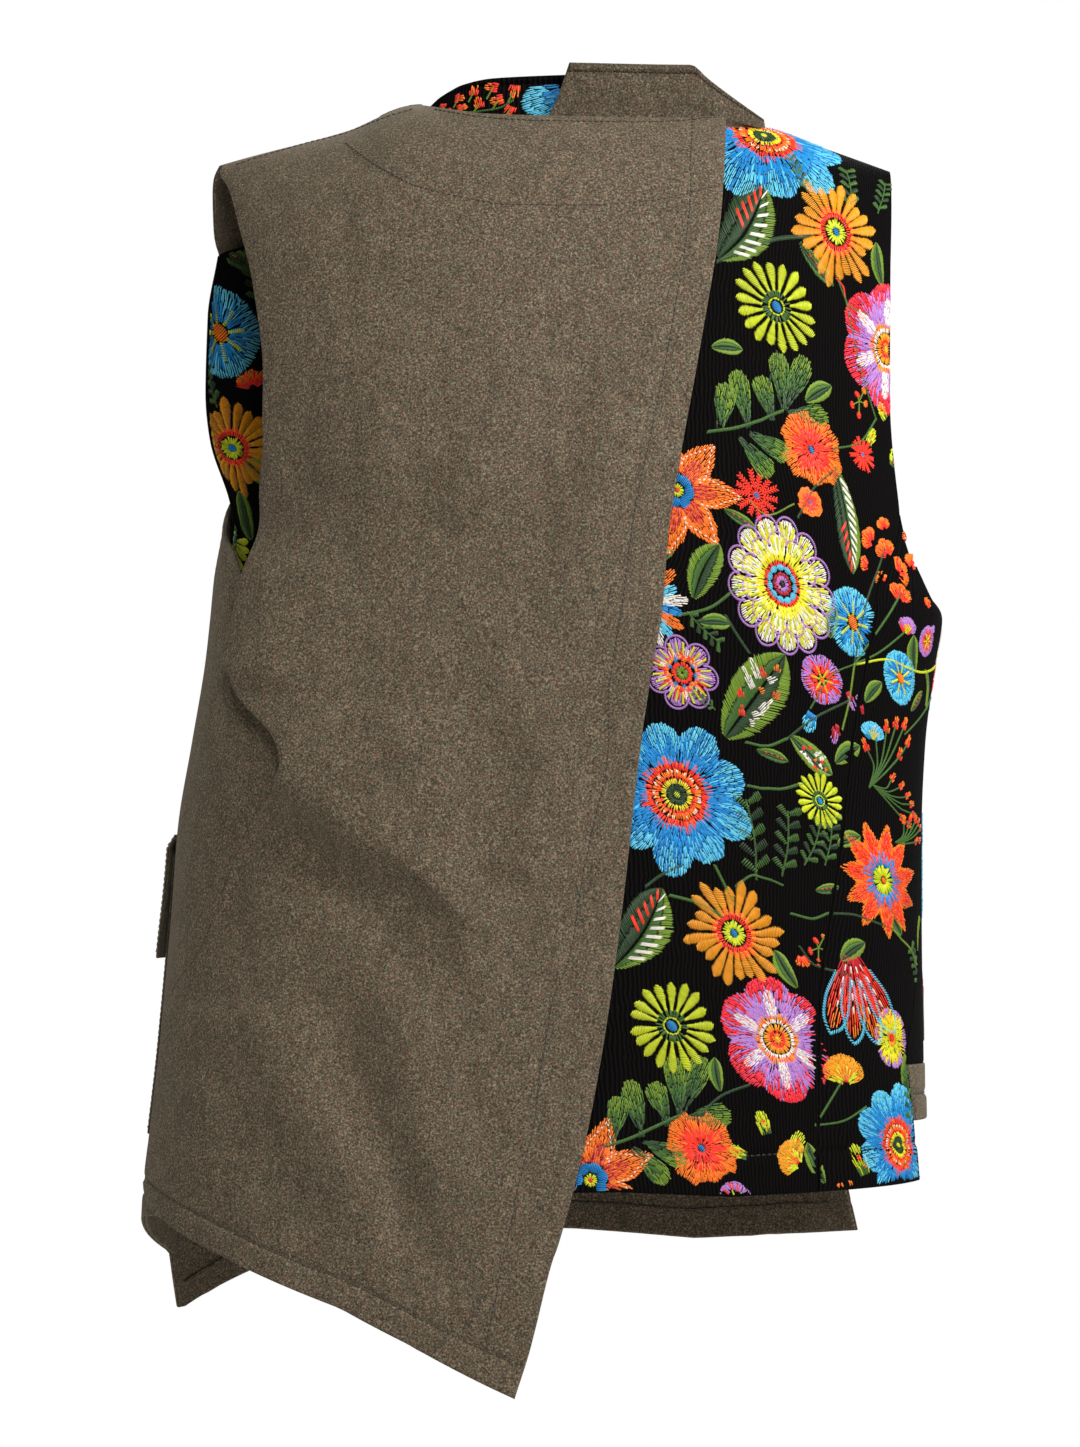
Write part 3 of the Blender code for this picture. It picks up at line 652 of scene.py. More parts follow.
FOLD = (
    Crest(x=-187, z=-326, height=9), Crest(x=-172, z=-354, height=15), Crest(x=-152, z=-384, height=18),
    Crest(x=-129, z=-407, height=17), Crest(x=-102, z=-429, height=13), Crest(x=-66, z=-437, height=7),
    Crest(x=-22, z=-434, height=0),
)
FOLD_STEEP, FOLD_GENTLE = 17.0, 60.0  # reach of the fold below and above its crest


def fold_height(x, z):
    """The drape fold: gentle above its crest, steep below it, and fading at its end."""
    height = np.zeros_like(x)
    for a, b in zip(FOLD, FOLD[1:]):
        run = np.array([b.x - a.x, b.z - a.z])
        part = np.clip(((x - a.x) * run[0] + (z - a.z) * run[1]) / (run @ run), 0, 1)
        gap_x, gap_z = x - a.x - part * run[0], z - a.z - part * run[1]
        reach = np.where(gap_x * -run[1] + gap_z * run[0] > 0, FOLD_GENTLE, FOLD_STEEP)
        crest = a.height + (b.height - a.height) * part
        height = np.maximum(height, crest * np.exp(-((np.hypot(gap_x, gap_z) / reach) ** 2)))
    return height


print("the fold stands up to", max(crest.height for crest in FOLD), "mm proud")


# %% [markdown]
# ### Creases
#
# Felted wool is thick, so it does not crumple. It makes a few long soft rolls and dents. Each crease
# is a short route with a height and a reach, given one by one. No two have the same length or depth,
# and all of them fade out before a seam or a turned edge.

# %% Creases
Crease = namedtuple("Crease", "route height reach")
BACK_CREASES = (
    Crease(((26, -128), (-9, -216), (-32, -263), (-49, -298)), height=-3.0, reach=13),
    Crease(((-8, -140), (-34, -196), (-70, -252)), height=6.2, reach=17),
    Crease(((46, -150), (26, -230), (4, -300)), height=4.4, reach=14),
    Crease(((-44, -330), (-38, -402), (-38, -477)), height=-3.0, reach=12),
    Crease(((-80, -300), (-84, -350), (-74, -400)), height=4.8, reach=18),
    Crease(((-6, -340), (-4, -400), (-12, -480)), height=4.0, reach=15),
    Crease(((-166, -404), (-128, -446), (-92, -478), (-74, -524)), height=-5.5, reach=15),
    Crease(((-150, -476), (-124, -520), (-112, -575), (-84, -646), (-46, -706)), height=-5.0, reach=13),
    Crease(((-176, -500), (-146, -570), (-106, -640), (-84, -682)), height=7.2, reach=18),
    Crease(((-92, -486), (-82, -560), (-54, -650)), height=5.6, reach=15),
    Crease(((-70, -440), (-50, -482), (-36, -522)), height=3.2, reach=9),
    Crease(((-52, -566), (-38, -586), (-24, -614)), height=-2.6, reach=8),
    Crease(((-119, -46), (-121, -90), (-116, -132)), height=-1.8, reach=7),
    Crease(((-142, -164), (-146, -200), (-138, -236)), height=-2.2, reach=9),
    Crease(((-92, -130), (-100, -200), (-108, -270)), height=2.6, reach=16),
    Crease(((-196, -420), (-186, -462), (-168, -500)), height=-3.4, reach=9),
    Crease(((-206, -556), (-194, -600), (-196, -634)), height=3.0, reach=13),
    Crease(((8, -560), (-2, -610), (-20, -664)), height=-2.2, reach=9),
)
FRONT_CREASES = (
    Crease(((-60, -196), (-20, -262), (30, -330)), height=-2.4, reach=12),
    Crease(((-96, -214), (-62, -286), (-8, -358)), height=2.6, reach=15),
    Crease(((-150, -300), (-92, -352), (-30, -398)), height=-2.2, reach=11),
    Crease(((-128, -420), (-96, -520), (-88, -624)), height=-2.8, reach=12),
    Crease(((-96, -450), (-58, -540), (-52, -640)), height=2.8, reach=15),
    Crease(((-6, -440), (22, -540), (24, -640)), height=-2.2, reach=11),
    Crease(((40, -450), (76, -560), (84, -646)), height=2.2, reach=13),
    Crease(((-148, -92), (-120, -148), (-86, -186)), height=-1.6, reach=9),
)


def creased(creases, x, z):
    """Soft troughs and ridges. Each is uneven along its route, and fades at both ends."""
    total = np.zeros_like(x)
    for number, crease in enumerate(creases):
        route = np.array(crease.route, float)
        runs = np.diff(route, axis=0)
        lengths = np.hypot(*runs.T)
        nearest, share = np.full_like(x, 1e9), np.zeros_like(x)
        for i, run in enumerate(runs):
            part = np.clip(((x - route[i, 0]) * run[0] + (z - route[i, 1]) * run[1]) / lengths[i] ** 2, 0, 1)
            gap = np.hypot(x - route[i, 0] - part * run[0], z - route[i, 1] - part * run[1])
            share = np.where(gap < nearest, (lengths[:i].sum() + part * lengths[i]) / lengths.sum(), share)
            nearest = np.minimum(nearest, gap)
        fade = ease(share, 0, 0.3) * ease(share, 1, 0.7)
        uneven = 1 + 0.25 * np.sin(9 * share + 2 * number)
        reach = crease.reach * (0.8 + 0.3 * uneven)
        total += crease.height * fade * uneven * np.exp(-((nearest / reach) ** 2))
    return total


print(len(BACK_CREASES), "creases on the back and", len(FRONT_CREASES), "on the front")


# %% [markdown]
# ### The wool back
#
# The piece is drawn flat on the form by four edges. A height above the form is added for the long
# diagonal fold, for the free edge under the arm and for the creases. The grid then gets its
# thickness, and its rim is rounded as a turned and pressed edge is.

# %% Wool back
FACING_LINE = (
    Mark(-124.7, BACK, -26.7), Mark(-103.8, BACK, -41.2), Mark(-78.9, BACK, -52.2), Mark(-54.5, BACK, -57.4),
    Mark(-30.2, BACK, -60.9), Mark(19, BACK, -61), Mark(53.4, BACK, -59.2), Mark(97, BACK, -51.5),
)
NECK_LINE = (
    Mark(-73, BACK, -7), Mark(-47, BACK, -11.4), Mark(-23.8, BACK, -13.4), Mark(7, BACK, -14.2),
    Mark(53.9, BACK, -14.8), Mark(84.7, BACK, -13.4), Mark(99, BACK, -12.6),
)
SHOULDER_LINE = (
    Mark(-192, BACK, -39.5), Mark(-168.8, BACK, -32.5), Mark(-149.1, BACK, -27), Mark(-126.4, BACK, -21.5),
    Mark(-84, BACK, -6.5),
)
ACROSS_LINES = (FACING_LINE, NECK_LINE, SHOULDER_LINE)
SIDE_TURNING, HEM_TURNING = 19, 18  # width of the turned edges of the wool, up to their stitching
UNDERARM, LIP, LIP_REACH = 7.0, 2.2, 2.6  # the free edge under the arm stands off, and its lip rolls over
SLIT_OPENS, HEM_HANGS = 4.0, 3.0  # how far the side slit's edge and the hem stand off
FACING_DIP, FACING_REACH = 0.7, 3.5  # the groove along the facing's stitching


def wool_back_lift(turn, down, x, z, away):
    """Height of the wool back above the form. It is held down at the side seam, and free elsewhere."""
    seam = ease(z, -326, -338) * ease(z, -512, -500)
    held = 1 - seam * (1 - ease(away[0], 2.5, 11))
    free = ease(z, -238, -262) * ease(z, -346, -328)
    lip = LIP * (1 - np.sqrt(1 - (1 - np.clip(away[0] / LIP_REACH, 0, 1)) ** 2)) * free
    underarm = UNDERARM * ease(z, -240, -280) * ease(z, -344, -326) * ease(x, -110, -165) - lip
    slit = SLIT_OPENS * ease(z, -514, -531) * ease(x, -120, -180)
    hang = HEM_HANGS * ease(z, -560, -740)
    off_line = (z - level_edge(FACING_LINE, 0)(turn)) / FACING_REACH
    groove = FACING_DIP * np.exp(-(off_line**2)) * ease(x, -124, -112)
    creases = creased(BACK_CREASES, x, z) * ease(away[1], 0, 16) * ease(away[3], 0, 22)
    return OVER + (fold_height(x, z) + underarm) * held + slit + hang + creases * held - groove


def top_of_back(turn, x):
    """The shoulder seam, and the back neckline between the neck points."""
    inside = np.abs(x - NECK_MIDDLE) < NECK_HALF
    return np.maximum(np.where(inside, down_of(x, back_neck(x)), 0), SHOULDER_SEAM)


def dress(piece, material, slot, *nodes):
    """Gives a piece its material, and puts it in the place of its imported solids."""
    piece.data.materials.append(material)
    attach(piece, "root")
    if nodes:
        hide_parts(*nodes)
    print(piece.name, len(piece.data.loops) - 2 * len(piece.data.polygons), "triangles")


wool_back = Panel(
    side_edge(WOOL_BACK_LEFT, WOOL_PROUD), side_edge(WOOL_BACK_RIGHT, WOOL_PROUD),
    top_of_back, at_height(level_edge(WOOL_BACK_HEM, WOOL_PROUD)),
)
wool_back_cloth = cloth("wool_back_cloth", wool_back, WOOL, wool_back_lift, (0, SIDE_TURNING, 0, HEM_TURNING))
dress(wool_back_cloth, wool_felt, "felted_wool", "wool_back")


# %% [markdown]
# ## The embroidered back and side back
#
# These two pieces lie under the wool back. They meet in the princess seam, a long curved seam that
# shapes the back over the shoulder blade. The cloth is thinner than the wool and hangs straighter.

# %% Embroidered back
UNDER_BACK_LEFT = (Mark(-70, BACK, 0), Mark(-70, BACK, -330), Mark(-64, BACK, -640))
ARMHOLE_RIGHT = (
    Mark(197, BACK, -38), Mark(195.5, BACK, -92), Mark(195, BACK, -143), Mark(195.5, BACK, -186),
    Mark(199.5, BACK, -226),
)
PRINCESS_SEAM = (
    Mark(200.5, BACK, -236), Mark(186, BACK, -286), Mark(176, BACK, -344), Mark(166, BACK, -423),
    Mark(158, BACK, -476), Mark(152.5, BACK, -518), Mark(151, BACK, -640),
)
UNDER_HEM = (
    Mark(-75, BACK, -628), Mark(38, BACK, -627), Mark(100, BACK, -630), Mark(151, BACK, -628),
    Mark(212, BACK, -624),
)
SIDE_TOP = (Mark(200.5, BACK, -236), Mark(210.5, BACK, -267), Mark(219.5, BACK, -286), Mark(226.5, BACK, -298))
SIDE_SEAM = (
    Mark(226.5, BACK, -296), Mark(224, BACK, -312), Mark(216, BACK, -372), Mark(213.5, BACK, -450),
    Mark(209, BACK, -518), Mark(204.5, BACK, -551), Mark(207, BACK, -572), Mark(212, BACK, -626),
)
SEAM = 0.3  # gap between two pieces that are sewn edge to edge
EMBROIDERED_TURNING = 23  # width of the turned hem of the embroidered cloth


def moved(edge, gap):
    """An edge moved round the form by this many millimetres."""
    return lambda z: edge(z) + gap / QUARTER_GIRTH


def under_lift(turn, down, x, z, away):
    """The under layer lies flat on the form."""
    return np.full_like(turn, UNDER)


embroidered_back = Panel(
    side_edge(UNDER_BACK_LEFT, UNDER_PROUD), side_edge(ARMHOLE_RIGHT + PRINCESS_SEAM, UNDER_PROUD),
    top_of_back, at_height(level_edge(UNDER_HEM, UNDER_PROUD)),
)
embroidered_back_cloth = cloth(
    "embroidered_back_cloth", embroidered_back, EMBROIDERED, under_lift, (0, 0, 0, EMBROIDERED_TURNING)
)
dress(embroidered_back_cloth, black_cloth, "embroidered_cloth", "embroidered_back")

embroidered_side = Panel(
    moved(side_edge(ARMHOLE_RIGHT + PRINCESS_SEAM, UNDER_PROUD), 0.5 * SEAM),
    side_edge(SIDE_SEAM, UNDER_PROUD),
    at_height(level_edge(SIDE_TOP, UNDER_PROUD)), at_height(level_edge(UNDER_HEM, UNDER_PROUD)),
)
embroidered_side_cloth = cloth(
    "embroidered_side_back_cloth", embroidered_side, EMBROIDERED, under_lift, (0, 0, 0, EMBROIDERED_TURNING)
)
dress(embroidered_side_cloth, black_cloth, "embroidered_cloth", "embroidered_side_back")


# %% [markdown]
# ## The embroidered front and its band
#
# The right front runs under the wool front as far as the left arm, where its end shows in the
# armhole. A straight band of wool lengthens it at the foot, and shows at the slit of the right side.

# %% Embroidered front
UNDER_FRONT_RIGHT = (
    Mark(197, FRONT_BY_RIGHT, -38), Mark(187, FRONT_BY_RIGHT, -62), Mark(177, FRONT_BY_RIGHT, -100),
    Mark(171, FRONT_BY_RIGHT, -150), Mark(174, FRONT_BY_RIGHT, -200), Mark(187, FRONT_BY_RIGHT, -250),
    Mark(208, FRONT_BY_RIGHT, -283), Mark(226.5, FRONT_BY_RIGHT, -300),
) + SIDE_SEAM[1:]
UNDER_FRONT_END = (
    Mark(-199, FRONT_BY_RIGHT, -60), Mark(-201, FRONT_BY_RIGHT, -90), Mark(-198.5, FRONT_BY_RIGHT, -165),
    Mark(-189.5, FRONT_BY_RIGHT, -240), Mark(-206, FRONT_BY_RIGHT, -371), Mark(-226, FRONT_BY_RIGHT, -600),
)
UNDER_FRONT_NECK = (
    Mark(117.5, FRONT_BY_RIGHT, -14), Mark(110, FRONT_BY_RIGHT, -34), Mark(88, FRONT_BY_RIGHT, -72),
    Mark(45, FRONT_BY_RIGHT, -120), Mark(-10, FRONT_BY_RIGHT, -152), Mark(-70, FRONT_BY_RIGHT, -158),
    Mark(-130, FRONT_BY_RIGHT, -126), Mark(-180, FRONT_BY_RIGHT, -76), Mark(-200, FRONT_BY_RIGHT, -84),
)
BAND_TOP, BAND_FOOT = -556.0, -589.0
BAND_TURNING = 16
END_OPENS = 6.5  # how far the free end stands off in the left armhole


def under_front_lift(turn, down, x, z, away):
    """The free end of the under front stands out where it shows in the left armhole."""
    return UNDER + END_OPENS * ease(turn, 2.78, 2.96) * ease(z, -70, -120) * ease(z, -238, -190)


def under_front_top(turn, x):
    neckline = at_height(level_edge(UNDER_FRONT_NECK, UNDER_PROUD))(turn, x)
    return np.where(x > NECK_MIDDLE + NECK_HALF, SHOULDER_SEAM, neckline)


under_front_start = moved(side_edge(UNDER_FRONT_RIGHT, UNDER_PROUD), 0.5 * SEAM)
under_front_end = side_edge(UNDER_FRONT_END, UNDER_PROUD)
embroidered_front = Panel(under_front_start, under_front_end, under_front_top, level(BAND_TOP))
embroidered_front_cloth = cloth(
    "embroidered_front_cloth", embroidered_front, EMBROIDERED, under_front_lift, cell=6.4
)
dress(embroidered_front_cloth, black_cloth, "embroidered_cloth", "embroidered_front")
hem_band = Panel(under_front_start, under_front_end, level(BAND_TOP - SEAM), level(BAND_FOOT))
hem_band_cloth = cloth("wool_hem_band_cloth", hem_band, WOOL, under_lift, (0, 0, 0, BAND_TURNING))
dress(hem_band_cloth, wool_felt, "felted_wool", "wool_hem_band")


# %% [markdown]
# ## The wool front
#
# The left front starts at the side seam, which lies towards the back. It passes under the arm and
# crosses the front to the right. Its foot makes a point at each side, longer than the back.

# %% Wool front
WOOL_FRONT_LEFT = (
    Mark(-202, FRONT_BY_LEFT, -40), Mark(-201, FRONT_BY_LEFT, -70), Mark(-196, FRONT_BY_LEFT, -90),
    Mark(-181, FRONT_BY_LEFT, -125), Mark(-177, FRONT_BY_LEFT, -165), Mark(-181, FRONT_BY_LEFT, -210),
    Mark(-192, FRONT_BY_LEFT, -230), Mark(-195.5, BACK, -243), Mark(-190.5, BACK, -258),
    Mark(-184, BACK, -279), Mark(-179.5, BACK, -298), Mark(-179.5, BACK, -322), Mark(-178.5, BACK, -338),
) + tuple(mark for mark in WOOL_BACK_LEFT if -522 < mark.z < -340)
WOOL_FRONT_SLIT = (
    Mark(-226, BACK, -533), Mark(-213, BACK, -552), Mark(-205, BACK, -575), Mark(-205, BACK, -660),
)
WOOL_FRONT_EDGE = (
    Mark(-79, FRONT_BY_LEFT, -3), Mark(-62, FRONT_BY_LEFT, -42), Mark(-28, FRONT_BY_LEFT, -110),
    Mark(22, FRONT_BY_LEFT, -200), Mark(75, FRONT_BY_LEFT, -310), Mark(120, FRONT_BY_LEFT, -430),
    Mark(155, FRONT_BY_LEFT, -550), Mark(182, FRONT_BY_LEFT, -662),
)
WOOL_FRONT_HEM = (
    Mark(-200, BACK, -643), Mark(-215, BACK, -643), Mark(-241, BACK, -646), Mark(-227, FRONT_BY_LEFT, -672),
    Mark(-225.5, FRONT_BY_LEFT, -706), Mark(-165, FRONT_BY_LEFT, -676), Mark(-60, FRONT_BY_LEFT, -664),
    Mark(0, FRONT_BY_LEFT, -660), Mark(85, FRONT_BY_LEFT, -666), Mark(183, FRONT_BY_LEFT, -659),
)
POCKET_BACK_EDGE, POCKET_FRONT_EDGE = -1.06, -1.52  # the turns between which the pocket lies
POCKET_TOP, POCKET_FOOT = -436.0, -600.0
ARMPIT, TUCK = 1.6, 2.6  # the front eases over the under layer's end, and tucks in beneath the back


def wool_front_lift(turn, down, x, z, away):
    """Height of the wool front above the form. No crease crosses the pocket or the side seam."""
    armpit = ARMPIT * ease(z, -310, -260) * ease(z, -195, -225) * ease(turn, -2.1, -1.8)
    clear = ease(turn, -1.02, -1.16) * ease(turn, POCKET_BACK_EDGE, POCKET_BACK_EDGE - 0.1)
    pocket = ease(turn, -1.60, -1.54) * ease(z, -412, -424) * ease(z, -612, -600)
    inland = ease(away[1], 0, 16) * ease(away[3], 0, 22)
    creases = creased(FRONT_CREASES, x, z) * clear * (1 - pocket) * inland
    tuck = TUCK * ease(away[0], 26, 6) * ease(z, -246, -262) * ease(z, -372, -352)
    return OVER + armpit * ease(turn, -1, -1.2) + creases - tuck


wool_front = Panel(
    moved(side_edge(WOOL_FRONT_LEFT + WOOL_FRONT_SLIT, WOOL_PROUD), -0.5 * SEAM),
    side_edge(WOOL_FRONT_EDGE, WOOL_PROUD),
    lambda turn, x: np.full_like(turn, SHOULDER_SEAM), at_height(level_edge(WOOL_FRONT_HEM, WOOL_PROUD)),
)
wool_front_cloth = cloth(
    "wool_front_cloth", wool_front, WOOL, wool_front_lift, (0, SIDE_TURNING, 0, HEM_TURNING), cell=5.8,
    outside=-1,
)
dress(wool_front_cloth, wool_felt, "felted_wool", "wool_front")


# %% [markdown]
# ## The hip pocket
#
# A patch pocket is a plain rectangle of cloth that is stitched on at three sides. Its flap is
# stitched on above it, and covers the open top. Both follow the wool front at a small distance.

# %% Hip pocket
FLAP_TOP, FLAP_FOOT = -424.0, -497.0
ON_FRONT = OVER + WOOL + SEAM


def upright_patch(top, foot, margin):
    start = lambda z: np.full_like(z, POCKET_BACK_EDGE + margin)
    end = lambda z: np.full_like(z, POCKET_FRONT_EDGE - margin)
    return Panel(start, end, level(top), level(foot))


def flap_lift(turn, down, x, z, away):
    over_patch = (WOOL + 1.2) * ease(z, FLAP_TOP - 1, POCKET_TOP + 4)
    return ON_FRONT + 0.5 + over_patch + 1.5 * ease(z, POCKET_TOP, FLAP_FOOT)


pocket = upright_patch(POCKET_TOP, POCKET_FOOT, 0)
pocket_cloth = cloth(
    "pocket_patch_cloth", pocket, WOOL, lambda turn, *rest: np.full_like(turn, ON_FRONT + 0.5), outside=-1
)
dress(pocket_cloth, wool_felt, "felted_wool", "pocket_patch")
flap = upright_patch(FLAP_TOP, FLAP_FOOT, 0.02)
flap_cloth = cloth("pocket_flap_cloth", flap, WOOL, flap_lift, outside=-1)
dress(flap_cloth, wool_felt, "felted_wool", "pocket_flap")


# %% [markdown]
# ## The stand collar
#
# A stand collar is a narrow band that rises from the neckline. Here it has two halves: embroidered
# cloth at the left and wool at the right. The wool half laps over the other one at the back.

# %% Stand collar
Stand = namedtuple("Stand", "x height")
EMBROIDERED_STAND = (Stand(-77, 3), Stand(-69, 11), Stand(-55, 20), Stand(-39, 25), Stand(20, 29))
WOOL_STAND = (Stand(-4, 35), Stand(79, 35), Stand(88, 27), Stand(101, 16), Stand(117, 3))
COLLAR_LEAN = math.radians(10)
COLLAR_FOOT, COLLAR_SEAM = -1.2, 2.0  # where the collar's foot and its top start above the neckline
COLLAR_LAP = 6.0  # how much lower the foot lies past the wool back's edge
WOOL_STAND_SLANT = 12.0
COLLAR_FIRST, COLLAR_LAST = -76.5, 16.0  # from where to where the embroidered half runs
EMBROIDERED_LEVEL, EMBROIDERED_INSET = UNDER + 0.5, 4.2  # it lies this far out and this far in
BAND = 30.0  # height of the band's cut, in mm


def collar_points(first, last, stand, level, inset, slant, across, rise):
    """A point of one half: it rises from the neckline and leans in."""
    height = curve(stand, "x", "height")
    start = np.arcsin((first + slant * rise - NECK_MIDDLE) / NECK_HALF)
    end = np.arcsin((last - NECK_MIDDLE) / NECK_HALF)
    x = NECK_MIDDLE + NECK_HALF * np.sin(start + (end - start) * across)
    z = back_neck(x)
    turn, down = turn_of(x, z, BACK), down_of(x, z)
    foot, normal = surface(turn, down), outward(turn, down)
    inwards = unit(np.stack([-normal[..., 0], -normal[..., 1], 0 * x], axis=-1))
    upright = ease(rise, 0, 0.5)[..., None]
    out = normal * (1 - upright) - inwards * upright
    lap = COLLAR_FOOT - COLLAR_LAP * ease(x, 86, 98)
    climb = (height(x) * rise + lap * (1 - rise) + COLLAR_SEAM * rise)[..., None]
    up = np.array([0, 0, math.cos(COLLAR_LEAN)])
    return foot + inwards * inset + out * level + (up + inwards * math.sin(COLLAR_LEAN)) * climb, out


def collar_cloth(name, first, last, stand, level, inset, slant, thickness):
    """One half of the collar as a closed sheet with a rounded rim."""
    length = last - first
    across = shares(np.array([length]), near(0), near(0), round(length / 3))
    rise = shares(np.array([BAND]), near(0), near(4), 8)
    across, rise = np.meshgrid(across[0], rise[0][::-1])
    points, out = collar_points(first, last, stand, level, inset, slant, across, rise)
    gaps = (across * length, (1 - across) * length, (1 - rise) * BAND, rise * BAND)
    rim = np.min([np.sqrt(1 - (1 - np.clip(gap / ROUNDING, 0, 1)) ** 2) for gap in gaps], axis=0)[..., None]
    inner = points + out * thickness * 0.5 * (1 - rim)
    outer = points + out * thickness * (0.52 + 0.48 * rim)
    made = closed_sheet(name, inner, outer, 1)
    spread_uv(made, np.stack([np.stack([across * length, rise * BAND], -1)] * 2).reshape(-1, 2))
    return made


left_half = (COLLAR_FIRST, COLLAR_LAST, EMBROIDERED_STAND, EMBROIDERED_LEVEL, EMBROIDERED_INSET, 0)
collar_left = collar_cloth("embroidered_collar_cloth", *left_half, EMBROIDERED)
dress(collar_left, black_cloth, "embroidered_cloth", "embroidered_collar")
collar_right = collar_cloth("wool_collar_cloth", -4, 116.5, WOOL_STAND, OVER, 0, WOOL_STAND_SLANT, WOOL)
# The wool half of the collar takes the copy of the wool that is darkened as painted shade.
dress(collar_right, wool_felt_painted_shade, "felted_wool", "wool_collar")


# %% [markdown]
# ## Embroidery thread
#
# Each stitch is a short length of glossy thread that comes up through the cloth and goes down again.
# It is modelled as a lens: two tips in the cloth and a crowned middle, 8 points and 12 triangles.
# Thousands of them are built at once from arrays and joined in one mesh, with each stitch's colour
# kept as an attribute of its points. A motif is first stitched flat, in millimetres about its own
# centre, and is then laid on the form.

# %% Thread colours and elementary stitches
THREADS = {
    "blue": "#0A84C6", "sky": "#5CC0DC", "lime": "#C8D21A", "mustard": "#E59A0B", "orange": "#F0780F",
    "red": "#F2331A", "pink": "#EE2B3E", "crimson": "#B81A26", "lavender": "#B07CC4", "white": "#E4DCD2",
    "forest": "#25411F", "fern": "#3F6624", "olive": "#6E8C22", "yellow": "#E2D21C",
}
COLOURS = list(THREADS)
PITCH = 0.95  # distance between neighbouring threads, in mm
chance = np.random.default_rng(41)


def stitches(x0, y0, x1, y1, colour, height=0.5):
    """One row for each stitch: its two ends, its colour's number and its height."""
    if isinstance(colour, str):
        colour = COLOURS.index(colour)
    columns = np.broadcast_arrays(*(np.asarray(c, float) for c in (x0, y0, x1, y1, colour, height)))
    return np.stack([column.ravel() for column in columns], axis=-1)


def polar(angle, along, aside=0.0):
    """The point this far along a direction from the centre, and this far to its left."""
    return along * np.cos(angle) - aside * np.sin(angle), along * np.sin(angle) + aside * np.cos(angle)


def turned(work, angle=0.0, size=1.0, x=0.0, y=0.0, narrow=1.0):
    """Stitches turned and scaled about the centre, then moved. Narrow squeezes them sideways."""
    made = work.copy()
    for i in (0, 2):
        u, v = work[:, i] * size, work[:, i + 1] * size
        made[:, i] = (u * math.cos(angle) - v * math.sin(angle)) * narrow + x
        made[:, i + 1] = u * math.sin(angle) + v * math.cos(angle) + y
    return made


def petal(angle, r0, r1, half, bands, neck=0.3, tip=0.22, notch=0.0, ragged=0.1, streak=0.0, point=2.5):
    """A petal of long and short stitches along it. Bands are (share of the length, colour)."""
    lines = max(3, round(2 * half / PITCH))
    made = []
    length = r1 - r0
    for c in np.linspace(-1, 1, lines):
        end = 1 - tip * abs(c) ** point - notch * (1 - abs(c)) - 0.04 * chance.random()
        shift = chance.normal(0, ragged) - streak * (chance.random() < 0.25)
        t = -0.3 * chance.random()
        while t < end - 0.05:
            step = (5.4 + 2.8 * chance.random()) / length
            a, b = max(t, 0), min(t + step, end)
            t += step * 0.86
            if b - a < 0.9 / length:
                continue
            spot = (a + b) / 2
            wide = neck + (1 - neck) * ease(spot, 0, 0.7)
            if chance.random() > wide * 1.5:
                continue
            colour = [name for start, name in bands if start <= max(spot + shift, 0)][-1]
            sides = [c * half * (neck + (1 - neck) * ease(np.array(u), 0, 0.7)) for u in (a, b)]
            x0, y0 = polar(angle, r0 + a * length, sides[0])
            x1, y1 = polar(angle, r0 + b * length, sides[1] + chance.normal(0, 0.25))
            made.append(stitches(x0, y0, x1, y1, colour, 0.45 + 0.25 * chance.random()))
    return np.concatenate(made)


def bar_petal(angle, r0, r1, half, colour, neck=0.4, raise_by=0.95):
    """A raised petal of satin stitches across it."""
    t = np.arange(0, 1, PITCH / (r1 - r0)) + 0.02
    rounded = np.sqrt(np.clip(1 - ((t - 0.8) / 0.2).clip(0) ** 2, 0.08, 1))
    wide = (neck + (1 - neck) * ease(t, 0, 0.75)) * rounded
    side = half * wide * (1 + chance.normal(0, 0.05, len(t)))
    slant = 0.35 * half
    x0, y0 = polar(angle, r0 + t * (r1 - r0) - slant / 2, -side)
    x1, y1 = polar(angle, r0 + t * (r1 - r0) + slant / 2, side)
    return stitches(x0, y0, x1, y1, colour, raise_by * (0.6 + 0.4 * wide))


def ring(r0, r1, colour, wave=0.0, waves=5, gap=1.0, skip=0.0):
    """Stitches that point outwards between two radii. Wave makes the outer edge lobed."""
    count = max(5, round(math.pi * (r0 + r1) / (PITCH * gap)))
    angle = np.linspace(0, 2 * math.pi, count, endpoint=False) + chance.normal(0, 0.1 / count, count)
    angle = angle[chance.random(count) >= skip]
    out = r1 * (1 + wave * np.cos(waves * angle)) + chance.normal(0, 0.2, len(angle))
    x0, y0 = polar(angle, r0 + chance.normal(0, 0.15, len(angle)))
    x1, y1 = polar(angle + chance.normal(0, 0.06, len(angle)), out)
    return stitches(x0, y0, x1, y1, colour, 0.6)


def disc(radius, colour, x=0.0, y=0.0, angle=0.6):
    """A small round of satin stitches."""
    across = np.arange(-radius + PITCH / 2, radius, PITCH)
    half = np.sqrt(np.maximum(radius**2 - across**2, 0.15))
    u0, v0 = polar(angle, -half, across)
    u1, v1 = polar(angle, half, across)
    return stitches(x + u0, y + v0, x + u1, y + v1, colour, 0.9)


def along_route(points, step):
    """Points a step apart on a smooth curve through these, and the direction there."""
    points = np.asarray(points, float)
    if len(points) == 2:
        points = np.stack([points[0], points.mean(axis=0), points[1]])
    reach = np.concatenate([[0], np.cumsum(np.linalg.norm(np.diff(points, axis=0), axis=1))])
    x, y = through(reach, points[:, 0]), through(reach, points[:, 1])
    at = np.arange(0, reach[-1], step)
    ahead = np.stack([x(at + 0.5) - x(at - 0.5), y(at + 0.5) - y(at - 0.5)], axis=-1)
    return np.stack([x(at), y(at)], axis=-1), unit(ahead)


